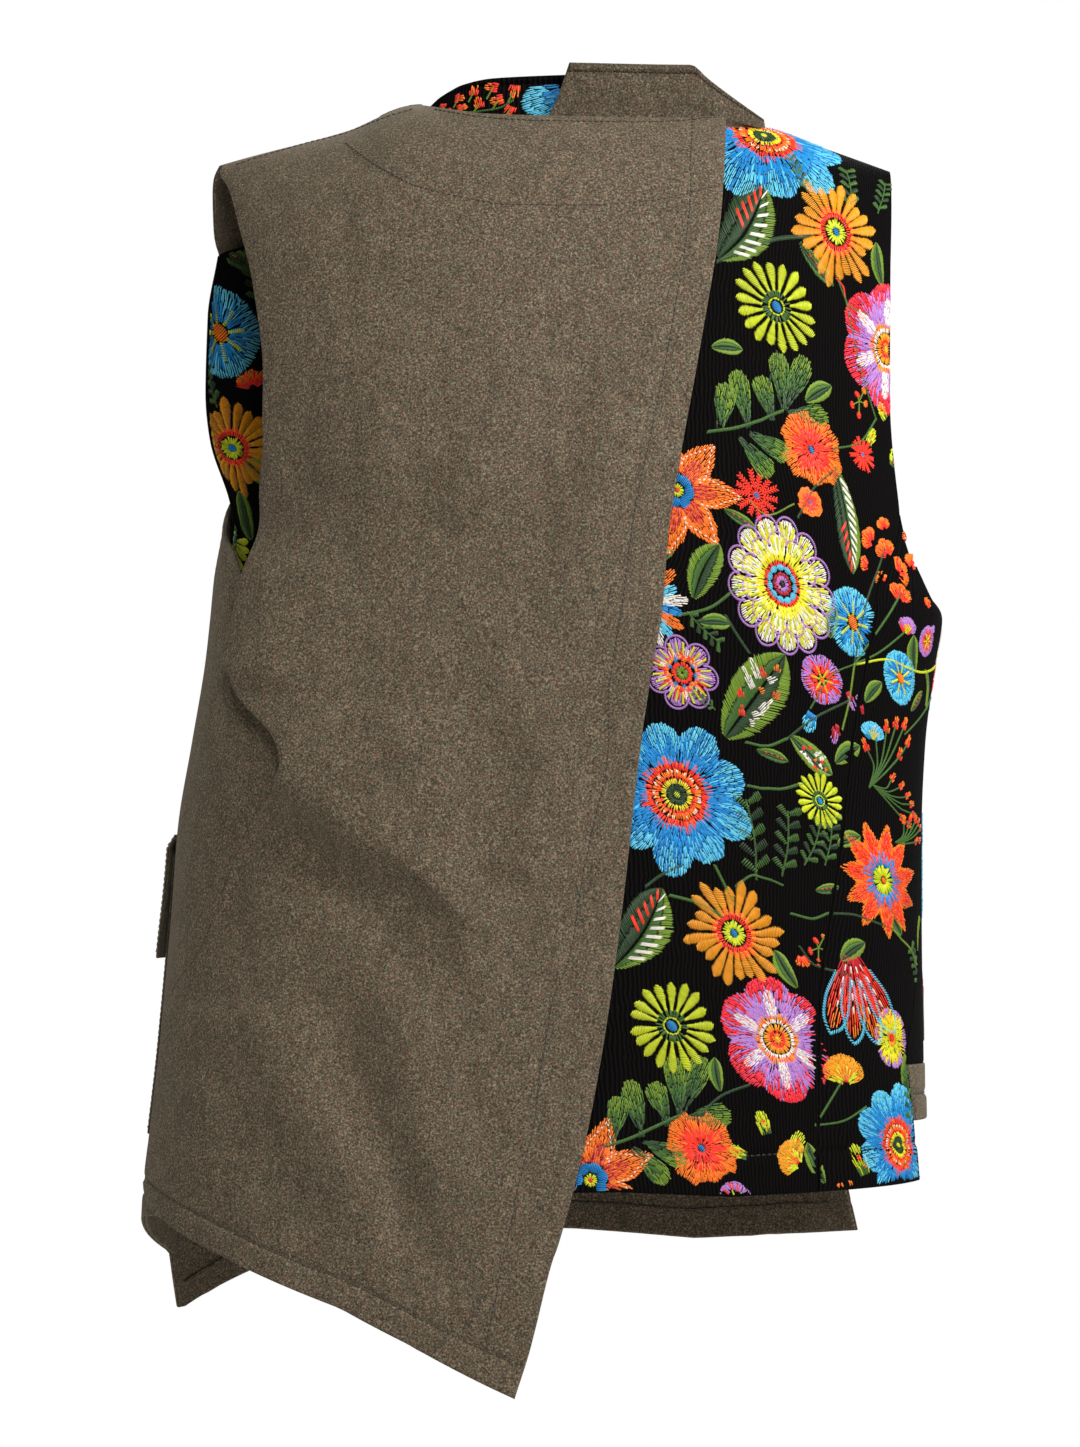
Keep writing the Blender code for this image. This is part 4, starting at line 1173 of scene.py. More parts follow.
def stem(points, half, colour):
    """A stem of short slanted satin stitches."""
    at, ahead = along_route(points, PITCH)
    side = np.stack([-ahead[:, 1], ahead[:, 0]], axis=-1)
    lean = ahead * half * 0.9
    first, last = at - side * half - lean, at + side * half + lean
    return stitches(first[:, 0], first[:, 1], last[:, 0], last[:, 1], colour, 0.75)


def dashes(points, colour, dash=2.4, gap=0.9):
    """A line of running stitches, a little proud of what it crosses."""
    at, ahead = along_route(points, dash + gap)
    last = at + ahead * dash
    return stitches(at[:, 0], at[:, 1], last[:, 0], last[:, 1], colour, 1.1)


def leaf(start, end, half, left, right, bend=0.0, veins=()):
    """A leaf: slanted stitches from the midrib to the edge, one colour or two shades a side."""
    start, end = np.asarray(start, float), np.asarray(end, float)
    axis = end - start
    length = np.hypot(*axis)
    across = np.array([-axis[1], axis[0]]) / length
    t = np.arange(0.02, 1, PITCH / length)

    def rib(u):
        return start + axis * u[:, None] + across * (bend * np.sin(math.pi * u))[:, None]

    made = []
    for side, colours in ((1, left), (-1, right)):
        wide = half * np.sin(math.pi * np.clip(t, 0, 1) ** 0.8) ** 0.8
        tip = np.clip(t + 0.16 * np.sin(math.pi * t), 0, 1)
        root, edge = rib(t), rib(tip) + across * (side * wide * (1 + chance.normal(0, 0.03, len(t))))[:, None]
        if isinstance(colours, str):
            colours = (colours, colours)
        middle = root + (edge - root) * (0.45 + 0.12 * chance.random(len(t)))[:, None]
        made.append(stitches(*root.T, *middle.T, colours[0], 0.55))
        made.append(stitches(*(root + (middle - root) * 0.85).T, *edge.T, colours[1], 0.5))
        for colour, vein_side, first, last, count in veins:
            if vein_side != side:
                continue
            at = np.linspace(first, last, count)
            base = rib(at)
            out = rib(np.clip(at + 0.13, 0, 1)) + across * (
                side * 0.8 * half * np.sin(math.pi * np.clip(at + 0.1, 0, 1) ** 0.8) ** 0.8)[:, None]
            for lay in (-0.5, 0.0, 0.5):
                nudge = axis / length * lay * PITCH * 1.5
                made.append(stitches(*(base + (out - base) * 0.1 + nudge).T, *(out + nudge).T, colour, 1.0))
    return np.concatenate(made)


# %% [markdown]
# ## The flowers
#
# The motifs are of a few kinds: open flowers with fringed petals, daisies with raised bars for
# petals, a double flower with scalloped edges, leaves with slanted stitches, and buds and sprigs.
# Each is a function, so that it can be stitched again in another place, size and turn.

# %% Large flowers
LAID_OVER = np.array([0, 0, 0, 0, 0, 0.35])  # raises stitches that lie on others


def blue_flower():
    made = []
    for i, angle in enumerate(np.radians((6, 46, 88, 126, 166, 206, 246, 284, 326))):
        reach = (45, 47, 42, 46, 43, 47, 49, 44, 47)[i]
        made.append(petal(angle, 17, reach, 13.2, ((0, "blue"), (0.42, "sky")), neck=0.46, tip=0.46,
                          notch=(0.0, 0.09)[i % 2], ragged=0.15, streak=0.42))
    made += [
        ring(14, 21.5, "red", wave=0.10, waves=8), ring(15.5, 19, "orange", skip=0.75),
        ring(10, 15, "orange", wave=0.06, waves=9), ring(12, 14.5, "white", skip=0.6),
        ring(8.6, 12.5, "red", skip=0.3), ring(5.8, 9.6, "yellow"), ring(2.4, 7.6, "forest", wave=0.25),
        ring(0.8, 3.2, "forest"), disc(2.0, "lime"),
    ]
    return np.concatenate(made)


def mustard_daisy():
    made = []
    for i in range(22):
        angle = 2 * math.pi * i / 22 + chance.normal(0, 0.02)
        reach = 27 + 4 * math.sin(1.7 * i) + chance.normal(0, 0.8)
        made.append(bar_petal(angle, 10.5, reach, 3.5, "mustard", neck=0.42))
        made.append(petal(angle, 7, 14 + chance.normal(0, 1), 1.3, ((0, "red"),), neck=0.9, tip=0.1))
    made += [ring(3.0, 7.2, "lime", wave=0.08, waves=8), ring(2.2, 5.0, "lime"), disc(2.4, "blue")]
    return np.concatenate(made)


def lime_daisy(petals=18, first=0.0, last=360.0):
    made = []
    for angle in np.radians(np.linspace(first, last, petals, endpoint=last - first < 360)):
        around = angle + chance.normal(0, 0.02)
        made.append(bar_petal(around, 9, 25 + chance.normal(0, 1), 3.2, "lime", neck=0.3))
    made += [ring(5, 10, "fern", skip=0.25, gap=1.3), ring(4.0, 5.4, "lime"), disc(3.4, "blue")]
    return np.concatenate(made)


def pink_flower():
    made = []
    for i in range(6):
        angle = math.radians(90 + 60 * i)
        made.append(petal(angle, 12, 38, 16.5, ((0, "lavender"), (0.5, "pink")), neck=0.5, tip=0.4, ragged=0.17,
                          streak=0.2))
        made.append(petal(angle, 13, 30, 4.6, ((0, "white"),), neck=0.5, tip=0.6, ragged=0.2) + LAID_OVER)
        made.append(petal(angle + 0.2, 13, 27, 1.4, ((0, "lavender"),), neck=0.8, tip=0.5) + LAID_OVER)
    made += [
        ring(11, 16, "mustard", wave=0.06, waves=6), ring(10, 16, "red", skip=0.65), ring(9, 12.2, "white"),
        ring(4.6, 9.4, "mustard"), ring(3, 7.6, "red", skip=0.2), ring(0.6, 4, "orange"), disc(1.8, "yellow"),
    ]
    return np.concatenate(made)


def cosmos():
    made = [petal(math.radians(36 * i + 8), 5, 22 + 2 * math.sin(2.3 * i), 6.9, ((0, "red"), (0.42, "orange")),
                  neck=0.35, tip=0.12, notch=0.12, ragged=0.14) for i in range(10)]
    made += [ring(1.5, 9, "red", gap=1.1), ring(6, 12.5, "red", skip=0.4), disc(2.2, "blue")]
    return np.concatenate(made)


def coral_flower():
    made = []
    for i in range(13):
        angle = 2 * math.pi * i / 13 + chance.normal(0, 0.05)
        reach = 12.5 + chance.normal(0, 1)
        made.append(stem((polar(angle, 2), polar(angle, reach)), 0.5, "red"))
        for r in np.arange(4, reach, 1.8):
            for side in (-1, 1):
                x0, y0 = polar(angle, r)
                x1, y1 = polar(angle, r + 2.0, side * 1.9)
                made.append(stitches(x0, y0, x1, y1, "red", 0.7))
    made.append(disc(2.0, "blue"))
    return np.concatenate(made)


def pointed_flower():
    made = []
    for i in range(7):
        angle = math.radians((6, 54, 106, 158, 208, 262, 312)[i])
        reach = (38, 36, 35, 37, 36, 38, 35)[i]
        made.append(petal(angle, 9, reach + 3, 11.5, ((0, "orange"),), neck=0.55, tip=0.62, point=1.2))
        inner = petal(angle, 9, reach * 0.66, 5.2, ((0, "crimson"),), neck=0.8, tip=0.6, ragged=0.2)
        made.append(inner + LAID_OVER)
        outline = [polar(angle, r, s) for r, s in (
            (13, 7.0), (reach * 0.5, 7.6), (reach * 0.76, 3.8), (reach * 0.98, 0), (reach * 0.76, -3.8),
            (reach * 0.5, -7.6), (13, -7.0))]
        made.append(dashes(outline, "white", 2.1, 0.8))
    for i in range(7):
        x, y = polar(2 * math.pi * i / 7, 7.4)
        made.append(disc(3.9, "blue", x, y, angle=i) + LAID_OVER)
    made += [ring(1, 4.2, "lime"), disc(1.6, "red")]
    return np.concatenate(made)


def star_flower():
    made = []
    for i in range(11):
        angle = 2 * math.pi * (i + 0.2 * chance.random()) / 11
        reach = 38 + chance.normal(0, 1.5)
        made.append(petal(angle, 10, reach, 8.4, ((0, "orange"),), neck=0.7, tip=0.62, point=1.2))
        inner = petal(angle, 9, reach * 0.84, 5.6, ((0, "red"),), neck=0.8, tip=0.6, ragged=0.2)
        made.append(inner + LAID_OVER)
    heart = (
        ring(8, 17.5, "blue", wave=0.12, waves=9), ring(2, 10, "lime", wave=0.12, waves=8), disc(2, "orange"),
    )
    made += [work + 2 * LAID_OVER for work in heart]
    return np.concatenate(made)


def scallop(count, radius, lobe, fill, marks, edge=1.2):
    """A ring of round lobes with a lavender satin edge, filled with stitches and set with marks."""
    made = []
    for i in range(count):
        angle = 2 * math.pi * i / count
        cx, cy = polar(angle, radius)
        filling = petal(0, -lobe * 1.1, lobe * 0.85, lobe * 0.85, fill, neck=0.6, tip=0.35, ragged=0.2)
        made.append(turned(filling, angle, 1, cx, cy))
        for aside in (-0.45, 0.0, 0.45):
            first = polar(angle, -lobe * 0.5, lobe * aside)
            last = polar(angle, lobe * 0.45, lobe * aside * 1.5)
            mark = stem([(cx + first[0], cy + first[1]), (cx + last[0], cy + last[1])], 0.8, marks)
            made.append(mark + LAID_OVER)
        around = angle + np.arange(-1.75, 1.75, PITCH / lobe)
        x0, y0 = polar(around, lobe - edge * 0.6)
        x1, y1 = polar(around + 0.12, lobe + edge * 0.6)
        made.append(stitches(cx + x0, cy + y0, cx + x1, cy + y1, "lavender", 0.95))
    return np.concatenate(made)


def double_flower():
    cream = ((0, "yellow"), (0.35, "white"))
    made = [scallop(13, 29, 7.4, cream, "lime"), scallop(11, 21, 6.2, cream, "lime")]
    made += [ring(11.5, 19, "yellow"), ring(11, 17.5, "lime", skip=0.5), ring(16, 20.5, "white", skip=0.5),
             ring(9.2, 12.6, "red", gap=1.1)]
    for i in range(11):
        x, y = polar(2 * math.pi * i / 11, 8.6)
        made.append(disc(2.3, "sky", x, y, angle=2 * math.pi * i / 11))
    made += [ring(4.2, 6.4, "crimson"), ring(1.6, 4.8, "lavender"), ring(2, 4, "red", skip=0.6),
             disc(1.5, "forest")]
    return turned(np.concatenate(made), narrow=0.86)


def blue_burst():
    """Long narrow petals in three colours."""
    made = []
    for i, angle in enumerate(np.radians(np.arange(-80, 100, 18))):
        colour = ("blue", "white", "sky", "orange")[i % 4]
        made.append(petal(angle, 8, 27 + 3 * math.sin(3 * i), 3.8, ((0, colour),), neck=0.4, tip=0.4))
    made.append(ring(4, 9, "red"))
    return np.concatenate(made)


def lavender_flower():
    made = [scallop(7, 14.5, 6.8, ((0, "red"), (0.4, "lavender")), "lime")]
    for i in range(9):
        made.append(petal(2 * math.pi * i / 9, 9, 15.5, 2.2, ((0, "white"),), neck=1.0, tip=0.9))
    made += [ring(7.8, 10.2, "lime", skip=0.3), ring(8.4, 10.8, "red", skip=0.5)]
    for i in range(9):
        x, y = polar(2 * math.pi * i / 9, 8.0)
        made.append(disc(1.7, ("blue", "orange")[i % 3 == 2], x, y, angle=i))
    made += [ring(3.6, 6.6, "red"), ring(0.5, 4.2, "olive")]
    return np.concatenate(made)


# %% [markdown]
# ### Small flowers, buds and berries
#
# Between the large flowers the ground is filled with small ones. They use the same stitches, with
# fewer of them: a few bars for a bud, a small disc for a berry, single short stitches for a sprig.

# %% Small flowers and buds
def small_blue():
    made = [petal(2 * math.pi * i / 7 + 0.3, 4, 19, 7.2, ((0, "blue"), (0.5, "sky")), neck=0.4, tip=0.14,
                  notch=0.05, ragged=0.14) for i in range(7)]
    made += [bar_petal(2 * math.pi * i / 8, 4, 11.5, 1.1, "lime", neck=0.8) for i in range(8)]
    made.append(disc(3.9, "orange"))
    return turned(np.concatenate(made), narrow=0.86)


def small_lavender():
    shades = ((0, "red"), (0.52, "lavender"))
    made = [petal(2 * math.pi * i / 6 + 0.4, 3, 15.5, 6.4, shades, neck=0.4, tip=0.16, ragged=0.12)
            for i in range(6)]
    made += [bar_petal(2 * math.pi * i / 6, 2, 8, 0.9, "lime", neck=0.9) for i in range(6)]
    made.append(disc(2.2, "orange"))
    return np.concatenate(made)


def fan(colours, half_spread=0.9, reach=13.0, petals=3, inner=None):
    """A flower seen from its side, opening upwards."""
    made = []
    for angle in math.pi / 2 + np.linspace(-half_spread, half_spread, petals):
        made.append(petal(angle, 1.5, reach, reach * 0.34, colours, neck=0.4, tip=0.18, ragged=0.1))
    if inner:
        for angle in math.pi / 2 + np.linspace(-half_spread, half_spread, petals + 1) * 0.8:
            made.append(bar_petal(angle, 1, reach * 0.55, 0.9, inner, neck=0.9))
    return np.concatenate(made)


def poppy():
    return fan(((0, "red"), (0.52, "orange")), 0.85, 13, 3)


def poppy_bud():
    return fan(((0, "red"), (0.5, "orange")), 0.4, 9, 2)


def lavender_tulip():
    return fan(((0, "red"), (0.5, "lavender")), 0.7, 13, 4, "lime")


def lavender_bud():
    return petal(math.pi / 2, -6, 7, 3.4, ((0, "crimson"), (0.45, "lavender")), neck=0.5, tip=0.5)


def blue_bud():
    return petal(math.pi / 2, -6, 8, 4.6, ((0, "blue"), (0.45, "sky")), neck=0.6, tip=0.35)


def blue_fan():
    return fan(((0, "blue"), (0.45, "sky")), 0.8, 15, 4, "lime")


def lime_fan():
    return lime_daisy(11, 190, 350)


def mustard_fan():
    return fan(((0, "lime"), (0.35, "mustard")), 0.95, 20, 5, "red")


def ember_fan():
    """Long orange-red petals with a pale blue edge."""
    made = []
    for angle in math.pi / 2 + np.array((-0.62, -0.3, 0.04, 0.36)):
        glow = ((0, "crimson"), (0.3, "red"), (0.75, "orange"))
        made.append(petal(angle, 3, 31, 4.6, glow, neck=0.35, tip=0.4))
        outline = [polar(angle, r, s) for r, s in (
            (10, 3.0), (22, 4.8), (29, 3.2), (32, 0), (29, -3.2), (22, -4.8), (10, -3.0))]
        made.append(stem(outline, 0.7, "sky"))
        made.append(dashes([polar(angle, 6), polar(angle, 24)], "white", 3, 1.5))
    return np.concatenate(made)


def yellow_lavender():
    shades = ((0, "lime"), (0.3, "yellow"), (0.72, "lavender"))
    made = [petal(2 * math.pi * i / 6, 4, 18, 6.6, shades, neck=0.45, tip=0.14, ragged=0.07)
            for i in range(6)]
    made += [ring(2, 6, "mustard", wave=0.1), disc(2.2, "red")]
    return turned(np.concatenate(made), narrow=0.85)


def lime_bud():
    return np.concatenate([petal(math.pi / 2, -6, 9, 4.4, ((0, "fern"), (0.2, "lime")), neck=0.6, tip=0.4),
                           disc(1.4, "red", 0, 2), disc(1.1, "orange", 1.6, -2)])


# %% [markdown]
# ### Leaves and sprigs
#
# An embroidered leaf is sewn from its middle rib outwards, in slanted stitches. Two greens give it a
# light and a dark half. Red and white bars on some of them make the variegated leaves.

# %% Leaves and sprigs
def half_leaf():
    """A leaf with one dark half and one light half with red and white veins, 58 mm long."""
    return leaf((-14, -24), (15, 25), 15, "forest", ("fern", "olive"), bend=-4,
                veins=(("white", -1, 0.16, 0.84, 8), ("red", 1, 0.45, 0.84, 5)))


def slim_leaf():
    return leaf((-5, 30), (6, -28), 8.5, ("fern", "olive"), "forest", bend=3,
                veins=(("white", 1, 0.1, 0.82, 10), ("red", -1, 0.5, 0.85, 5)))


def plain_leaf():
    return leaf((-6, -18), (7, 18), 9.5, ("fern", "olive"), ("forest", "olive"), bend=2)


def dotted_leaf():
    made = [leaf((-11, 8), (12, -9), 5, ("fern", "olive"), ("forest", "fern"))]
    made += [disc(0.9, "red", x, y) for x, y in ((-4, 3.5), (0, 0.5), (4, -3), (7, -5.5))]
    return np.concatenate(made)


def variegated_leaf():
    made = [leaf((-22, -22), (22, 22), 15, ("fern", "olive"), ("forest", "olive"))]
    for x, y, length, turn, colour in (
        (-2, 10, 13, 1.9, "white"), (3, 15, 12, 1.8, "white"), (7, 13, 7, 1.7, "red"),
        (12, 9, 7, 0.3, "white"), (-8, 2, 6, 1.6, "red"), (-9, -7, 7, 1.4, "red"), (6, -4, 12, 0.6, "white"),
        (0, -9, 8, 0.2, "white"), (13, 1, 6, 0.7, "red"), (5, 4, 4, 0.4, "orange"),
        (-4, -13, 4, 0.1, "white"), (16, 15, 5, 1.2, "orange"),
    ):
        fleck = petal(0, -length / 2, length / 2, 1.8, ((0, colour),), neck=0.8, tip=0.4)
        made.append(turned(fleck, turn, 1, x, y) + np.array([0, 0, 0, 0, 0, 0.4]))
    return np.concatenate(made)


def paddle(x, y, angle, length, half=6.0):
    """A blunt leaf of lengthwise stitches, dark at its foot."""
    shades = ((0, "forest"), (0.32, "fern"), (0.66, "olive"))
    blade = petal(0, 0, length, half, shades, neck=0.25, tip=0.14, ragged=0.12)
    return turned(blade, math.radians(angle), 1, x, y)


def paddle_branch():
    """A branch of blunt leaves, about 75 mm across."""
    made = [stem(((-34, -21), (-18, -15), (-2, -6), (13, 3)), 1.1, "fern")]
    for x, y, angle, length in ((-27, -19, 80, 30), (-9, -13, 104, 34), (6, -5, 110, 27), (13, 3, 98, 34),
                                (13, 3, 68, 40), (15, 2, 15, 30), (-15, -19, -41, 28), (-9, -15, -18, 28)):
        made.append(paddle(x, y, angle, length))
    return np.concatenate(made)


def sprig(count=5, spread=6.0, length=7.0, colours=("fern", "forest")):
    """A thin stem upwards with pairs of slim leaves."""
    height = spread * count
    made = [stem(((0, 0), (1.5, height / 2), (0, height)), 0.5, colours[0])]
    for i in range(count):
        y = spread * (i + 0.6)
        for side in (-1, 1):
            blade = bar_petal(0, 0.5, length, 2.0, colours[i % 2], neck=0.6)
            made.append(turned(blade, math.pi / 2 - side * 0.95, 1, 0.8, y + side))
    return np.concatenate(made)


def berry_sprig():
    """Thin stems that fan upwards, each with an orange bud on its end."""
    made = []
    for x, y in ((-16, 4), (-9, 13), (0, 19), (8, 23), (16, 24), (20, 14), (12, 6)):
        made.append(stem(((-14, -18), (x * 0.4 - 4, y * 0.4 - 7), (x, y)), 0.6, "fern"))
        made.append(turned(petal(math.pi / 2, -2, 7, 2.4, ((0, "red"), (0.4, "orange")), neck=0.8, tip=0.5),
                           -0.03 * x, 1, x, y))
    return np.concatenate(made)


def red_berries():
    made = []
    for x, y in ((-6, -4), (-2, 4), (4, 8), (6, 0), (0, -9)):
        made.append(stem(((0, 0), (x, y)), 0.45, "olive"))
        made.append(disc(2.3, ("red", "orange")[x > 3], x, y, angle=x))
    return np.concatenate(made)


# %% [markdown]
# ## Laying the pattern on the cloth
#
# The cloth was embroidered flat, before it was cut. To put the pattern back on the form without
# stretching it, the length of cloth from the middle of the back is worked out along every level, and
# a point of the flat pattern is found again on the form from it. Stitches that would fall outside a
# panel's edge are left out, as the scissors cut them off, and so are those that the wool hides.

# %% A flat map of the form
MAP_TURNS = np.linspace(-0.5, 3.1, 721)
MAP_DOWNS = np.linspace(0.5, 760.5, 381)
MAP_REACH = np.arange(-150, 950, 2.0)
turn_map, down_map = np.meshgrid(MAP_TURNS, MAP_DOWNS)
step_map = np.linalg.norm(np.diff(surface(turn_map, down_map), axis=1), axis=-1)
reach_map = np.concatenate([np.zeros((len(MAP_DOWNS), 1)), np.cumsum(step_map, axis=1)], axis=1)
reach_map -= reach_map[:, [np.searchsorted(MAP_TURNS, 0.0)]]
turn_back = np.stack([np.interp(MAP_REACH, row, MAP_TURNS) for row in reach_map])


def between(table, rows, columns, at_row, at_column):
    """A table read between its rows and columns."""
    r = np.interp(at_row, rows, np.arange(len(rows)))
    c = np.interp(at_column, columns, np.arange(len(columns)))
    i, j = np.minimum(r.astype(int), len(rows) - 2), np.minimum(c.astype(int), len(columns) - 2)
    t, s = r - i, c - j
    upper = table[i, j] * (1 - s) + table[i, j + 1] * s
    return upper * (1 - t) + (table[i + 1, j] * (1 - s) + table[i + 1, j + 1] * s) * t


def flat_place(x, z, face=BACK):
    """Where a point that is seen at x and z lies on the flat pattern."""
    x, z = np.float64(x), np.float64(z)
    turn, down = turn_of(x, z, face, UNDER_PROUD), down_of(x, z)
    return float(between(reach_map, MAP_DOWNS, MAP_TURNS, down, turn)), -float(down)


# %% [markdown]
# ### From flat stitches to thread
#
# Each stitch is a short bar of satin thread with a low round top. All the stitches of a piece become
# one mesh, built from arrays. The colour of each stitch is kept in an attribute named thread, which
# the material reads. Stitches that would lie across an edge or under another layer are left out.

# %% Thread
def satin_thread():
    made, tree, shader = new_material(
        "glossy rayon embroidery thread", Roughness=0.42, Sheen_Weight=0.1, Sheen_Roughness=0.4,
        Specular_IOR_Level=0.4,
    )
    colour = node(tree, "ShaderNodeVertexColor", layer_name="thread")
    tree.links.new(colour.outputs["Color"], shader.inputs["Base Color"])
    return made


def sewing_thread(name, code):
    return new_material(name, Base_Color=linear(code), Roughness=0.6, Sheen_Weight=0.1)[0]


thread_paint = satin_thread()
CODES = np.array([linear(code) for code in THREADS.values()])
THREAD_FACES = np.array((
    (0, 1, 2), (0, 2, 3), (0, 3, 1), (1, 5, 2), (1, 4, 5), (2, 6, 3), (2, 5, 6), (3, 4, 1), (3, 6, 4),
    (7, 5, 4), (7, 6, 5), (7, 4, 6),
))


def sew(name, first, last, out, width, height):
    """One mesh of stitches, from their ends in space, the way up, and their heights."""
    ahead = last - first
    side = unit(np.cross(ahead, out)) * width / 2
    crown = out * np.broadcast_to(height, len(first))[:, None]
    near_end, far_end = first + ahead * 0.18, first + ahead * 0.82
    sunk = out * 0.15
    points = np.stack([
        first - sunk, near_end - side - sunk, near_end + side - sunk, near_end + crown,
        far_end - side - sunk, far_end + side - sunk, far_end + crown, last - sunk,
    ], axis=1)
    faces = THREAD_FACES[None] + 8 * np.arange(len(first))[:, None, None]
    return mesh_object(name, points.reshape(-1, 3) * MM, faces.reshape(-1, 3))


THREAD_WIDTH = 1.15


def colour_threads(made, numbers):
    """Each stitch's colour as an attribute of its points, a little lighter or darker than its neighbours."""
    shade = 1 + chance.normal(0, 0.07, len(numbers))
    colours = CODES[numbers.astype(int)]
    colours[:, :3] *= shade[:, None]
    layer = made.data.color_attributes.new("thread", "FLOAT_COLOR", "POINT")
    layer.data.foreach_set("color", np.repeat(np.clip(colours, 0, 1), 8, axis=0).astype(np.float32).ravel())


def embroider(name, panel, work, hidden=None, side=1):
    """Stitches of the flat pattern sewn to a panel, on its outer face or, with side -1, its inner one."""
    u, v = work[:, [0, 2]], work[:, [1, 3]]
    down = -v
    turn = between(turn_back, MAP_DOWNS, MAP_REACH, down, u)
    x, z, away = panel.gaps(turn, down)
    keep = (np.min(away, axis=0) > 1.2).all(axis=1) & (down > 1).all(axis=1)
    if hidden is not None:
        keep &= ~hidden(turn, z).any(axis=1)
    turn, down, x, z, work = turn[keep], down[keep], x[keep], z[keep], work[keep]
    away = [gap[keep] for gap in away]
    _, swell, inside = edge_finish(away, panel.turnings)
    height = panel.lift(turn, down, x, z, away) + (panel.thickness + swell if side > 0 else -inside)
    ends = raised(turn, down, height)
    out = outward(turn, down).mean(axis=1) * side
    made = sew(name, ends[:, 0], ends[:, 1], out, THREAD_WIDTH, work[:, 5])
    colour_threads(made, work[:, 4])
    dress(made, thread_paint, "embroidered_cloth")
    return made


# %% [markdown]
# ## The pattern
#
# The table names each motif, the place of its middle as it is seen from the back, its turn and its
# size. Stems run between some of them and have a table of their own. The pattern repeats on the
# cloth, so the front is stitched with the same motifs moved along.

# %% Motifs and stems of the back
Motif = namedtuple("Motif", "make x z angle size", defaults=(0, 1.0))
Stem = namedtuple("Stem", "route half colour", defaults=(0.9, "fern"))
STEMS = (
    Stem(((93.5, -92), (118, -82), (148, -77)), 1.3, "forest"),
    Stem(((163, -101), (167, -106), (168, -112)), 0.6, "red"),
    Stem(((71, -296), (88, -292), (105, -280)), 1.0),
    Stem(((173, -324), (178, -296), (191, -257)), 0.8, "forest"),
    Stem(((173, -324), (190, -300), (200, -284)), 0.8), Stem(((173, -324), (186, -318), (203, -304)), 0.7),
    Stem(((173, -324), (170, -345), (166, -362)), 0.7, "olive"),
    Stem(((173, -324), (160, -330), (147, -350)), 0.6),
    Stem(((173, -324), (196, -322), (213, -328), (226, -322)), 0.8, "lime"),
    Stem(((216, -327), (217, -338), (216, -349)), 2.2, "olive"),
    Stem(((110, -369), (122, -371), (134, -367)), 1.0), Stem(((111, -394), (128, -396), (143, -393)), 1.0),
    Stem(((136, -468), (147, -471), (158, -468)), 0.9),
    Stem(((128, -144), (124, -160), (120, -176)), 0.8, "forest"),
    Stem(((66, -457), (84, -462), (97, -470)), 1.1), Stem(((163, -100), (172, -118), (182, -122)), 0.7),
    Stem(((141, -487), (150, -498), (170, -504)), 0.9, "forest"),
    Stem(((112, -230), (122, -238), (138, -232)), 0.6, "olive"),
    Stem(((168, -561), (160, -574), (150, -590)), 0.8),
    Stem(((158, -468), (176, -470), (196, -478)), 0.9, "forest"),
    Stem(((134, -367), (150, -355), (170, -345)), 0.9, "forest"),
    Stem(((92, -440), (98, -452), (103, -462)), 1.0),
    Stem(((52, -452), (60, -446), (72, -440)), 1.0, "forest"),
    Stem(((104, -452), (116, -446), (132, -452)), 0.8),
    Stem(((86, -580), (96, -572), (112, -566)), 0.9, "forest"),
    Stem(((150, -590), (166, -588), (180, -580)), 0.7),
    Stem(((98, -296), (104, -306), (112, -318)), 1.0, "forest"),
    Stem(((168, -112), (176, -150), (186, -182)), 0.6),
    Stem(((196, -478), (208, -492), (214, -520)), 0.6, "olive"),
    Stem(((186, -182), (176, -196), (160, -200)), 0.7),
    Stem(((160, -213), (150, -222), (140, -240)), 0.8, "forest"),
    Stem(((203, -364), (214, -352), (222, -336)), 0.6),
)
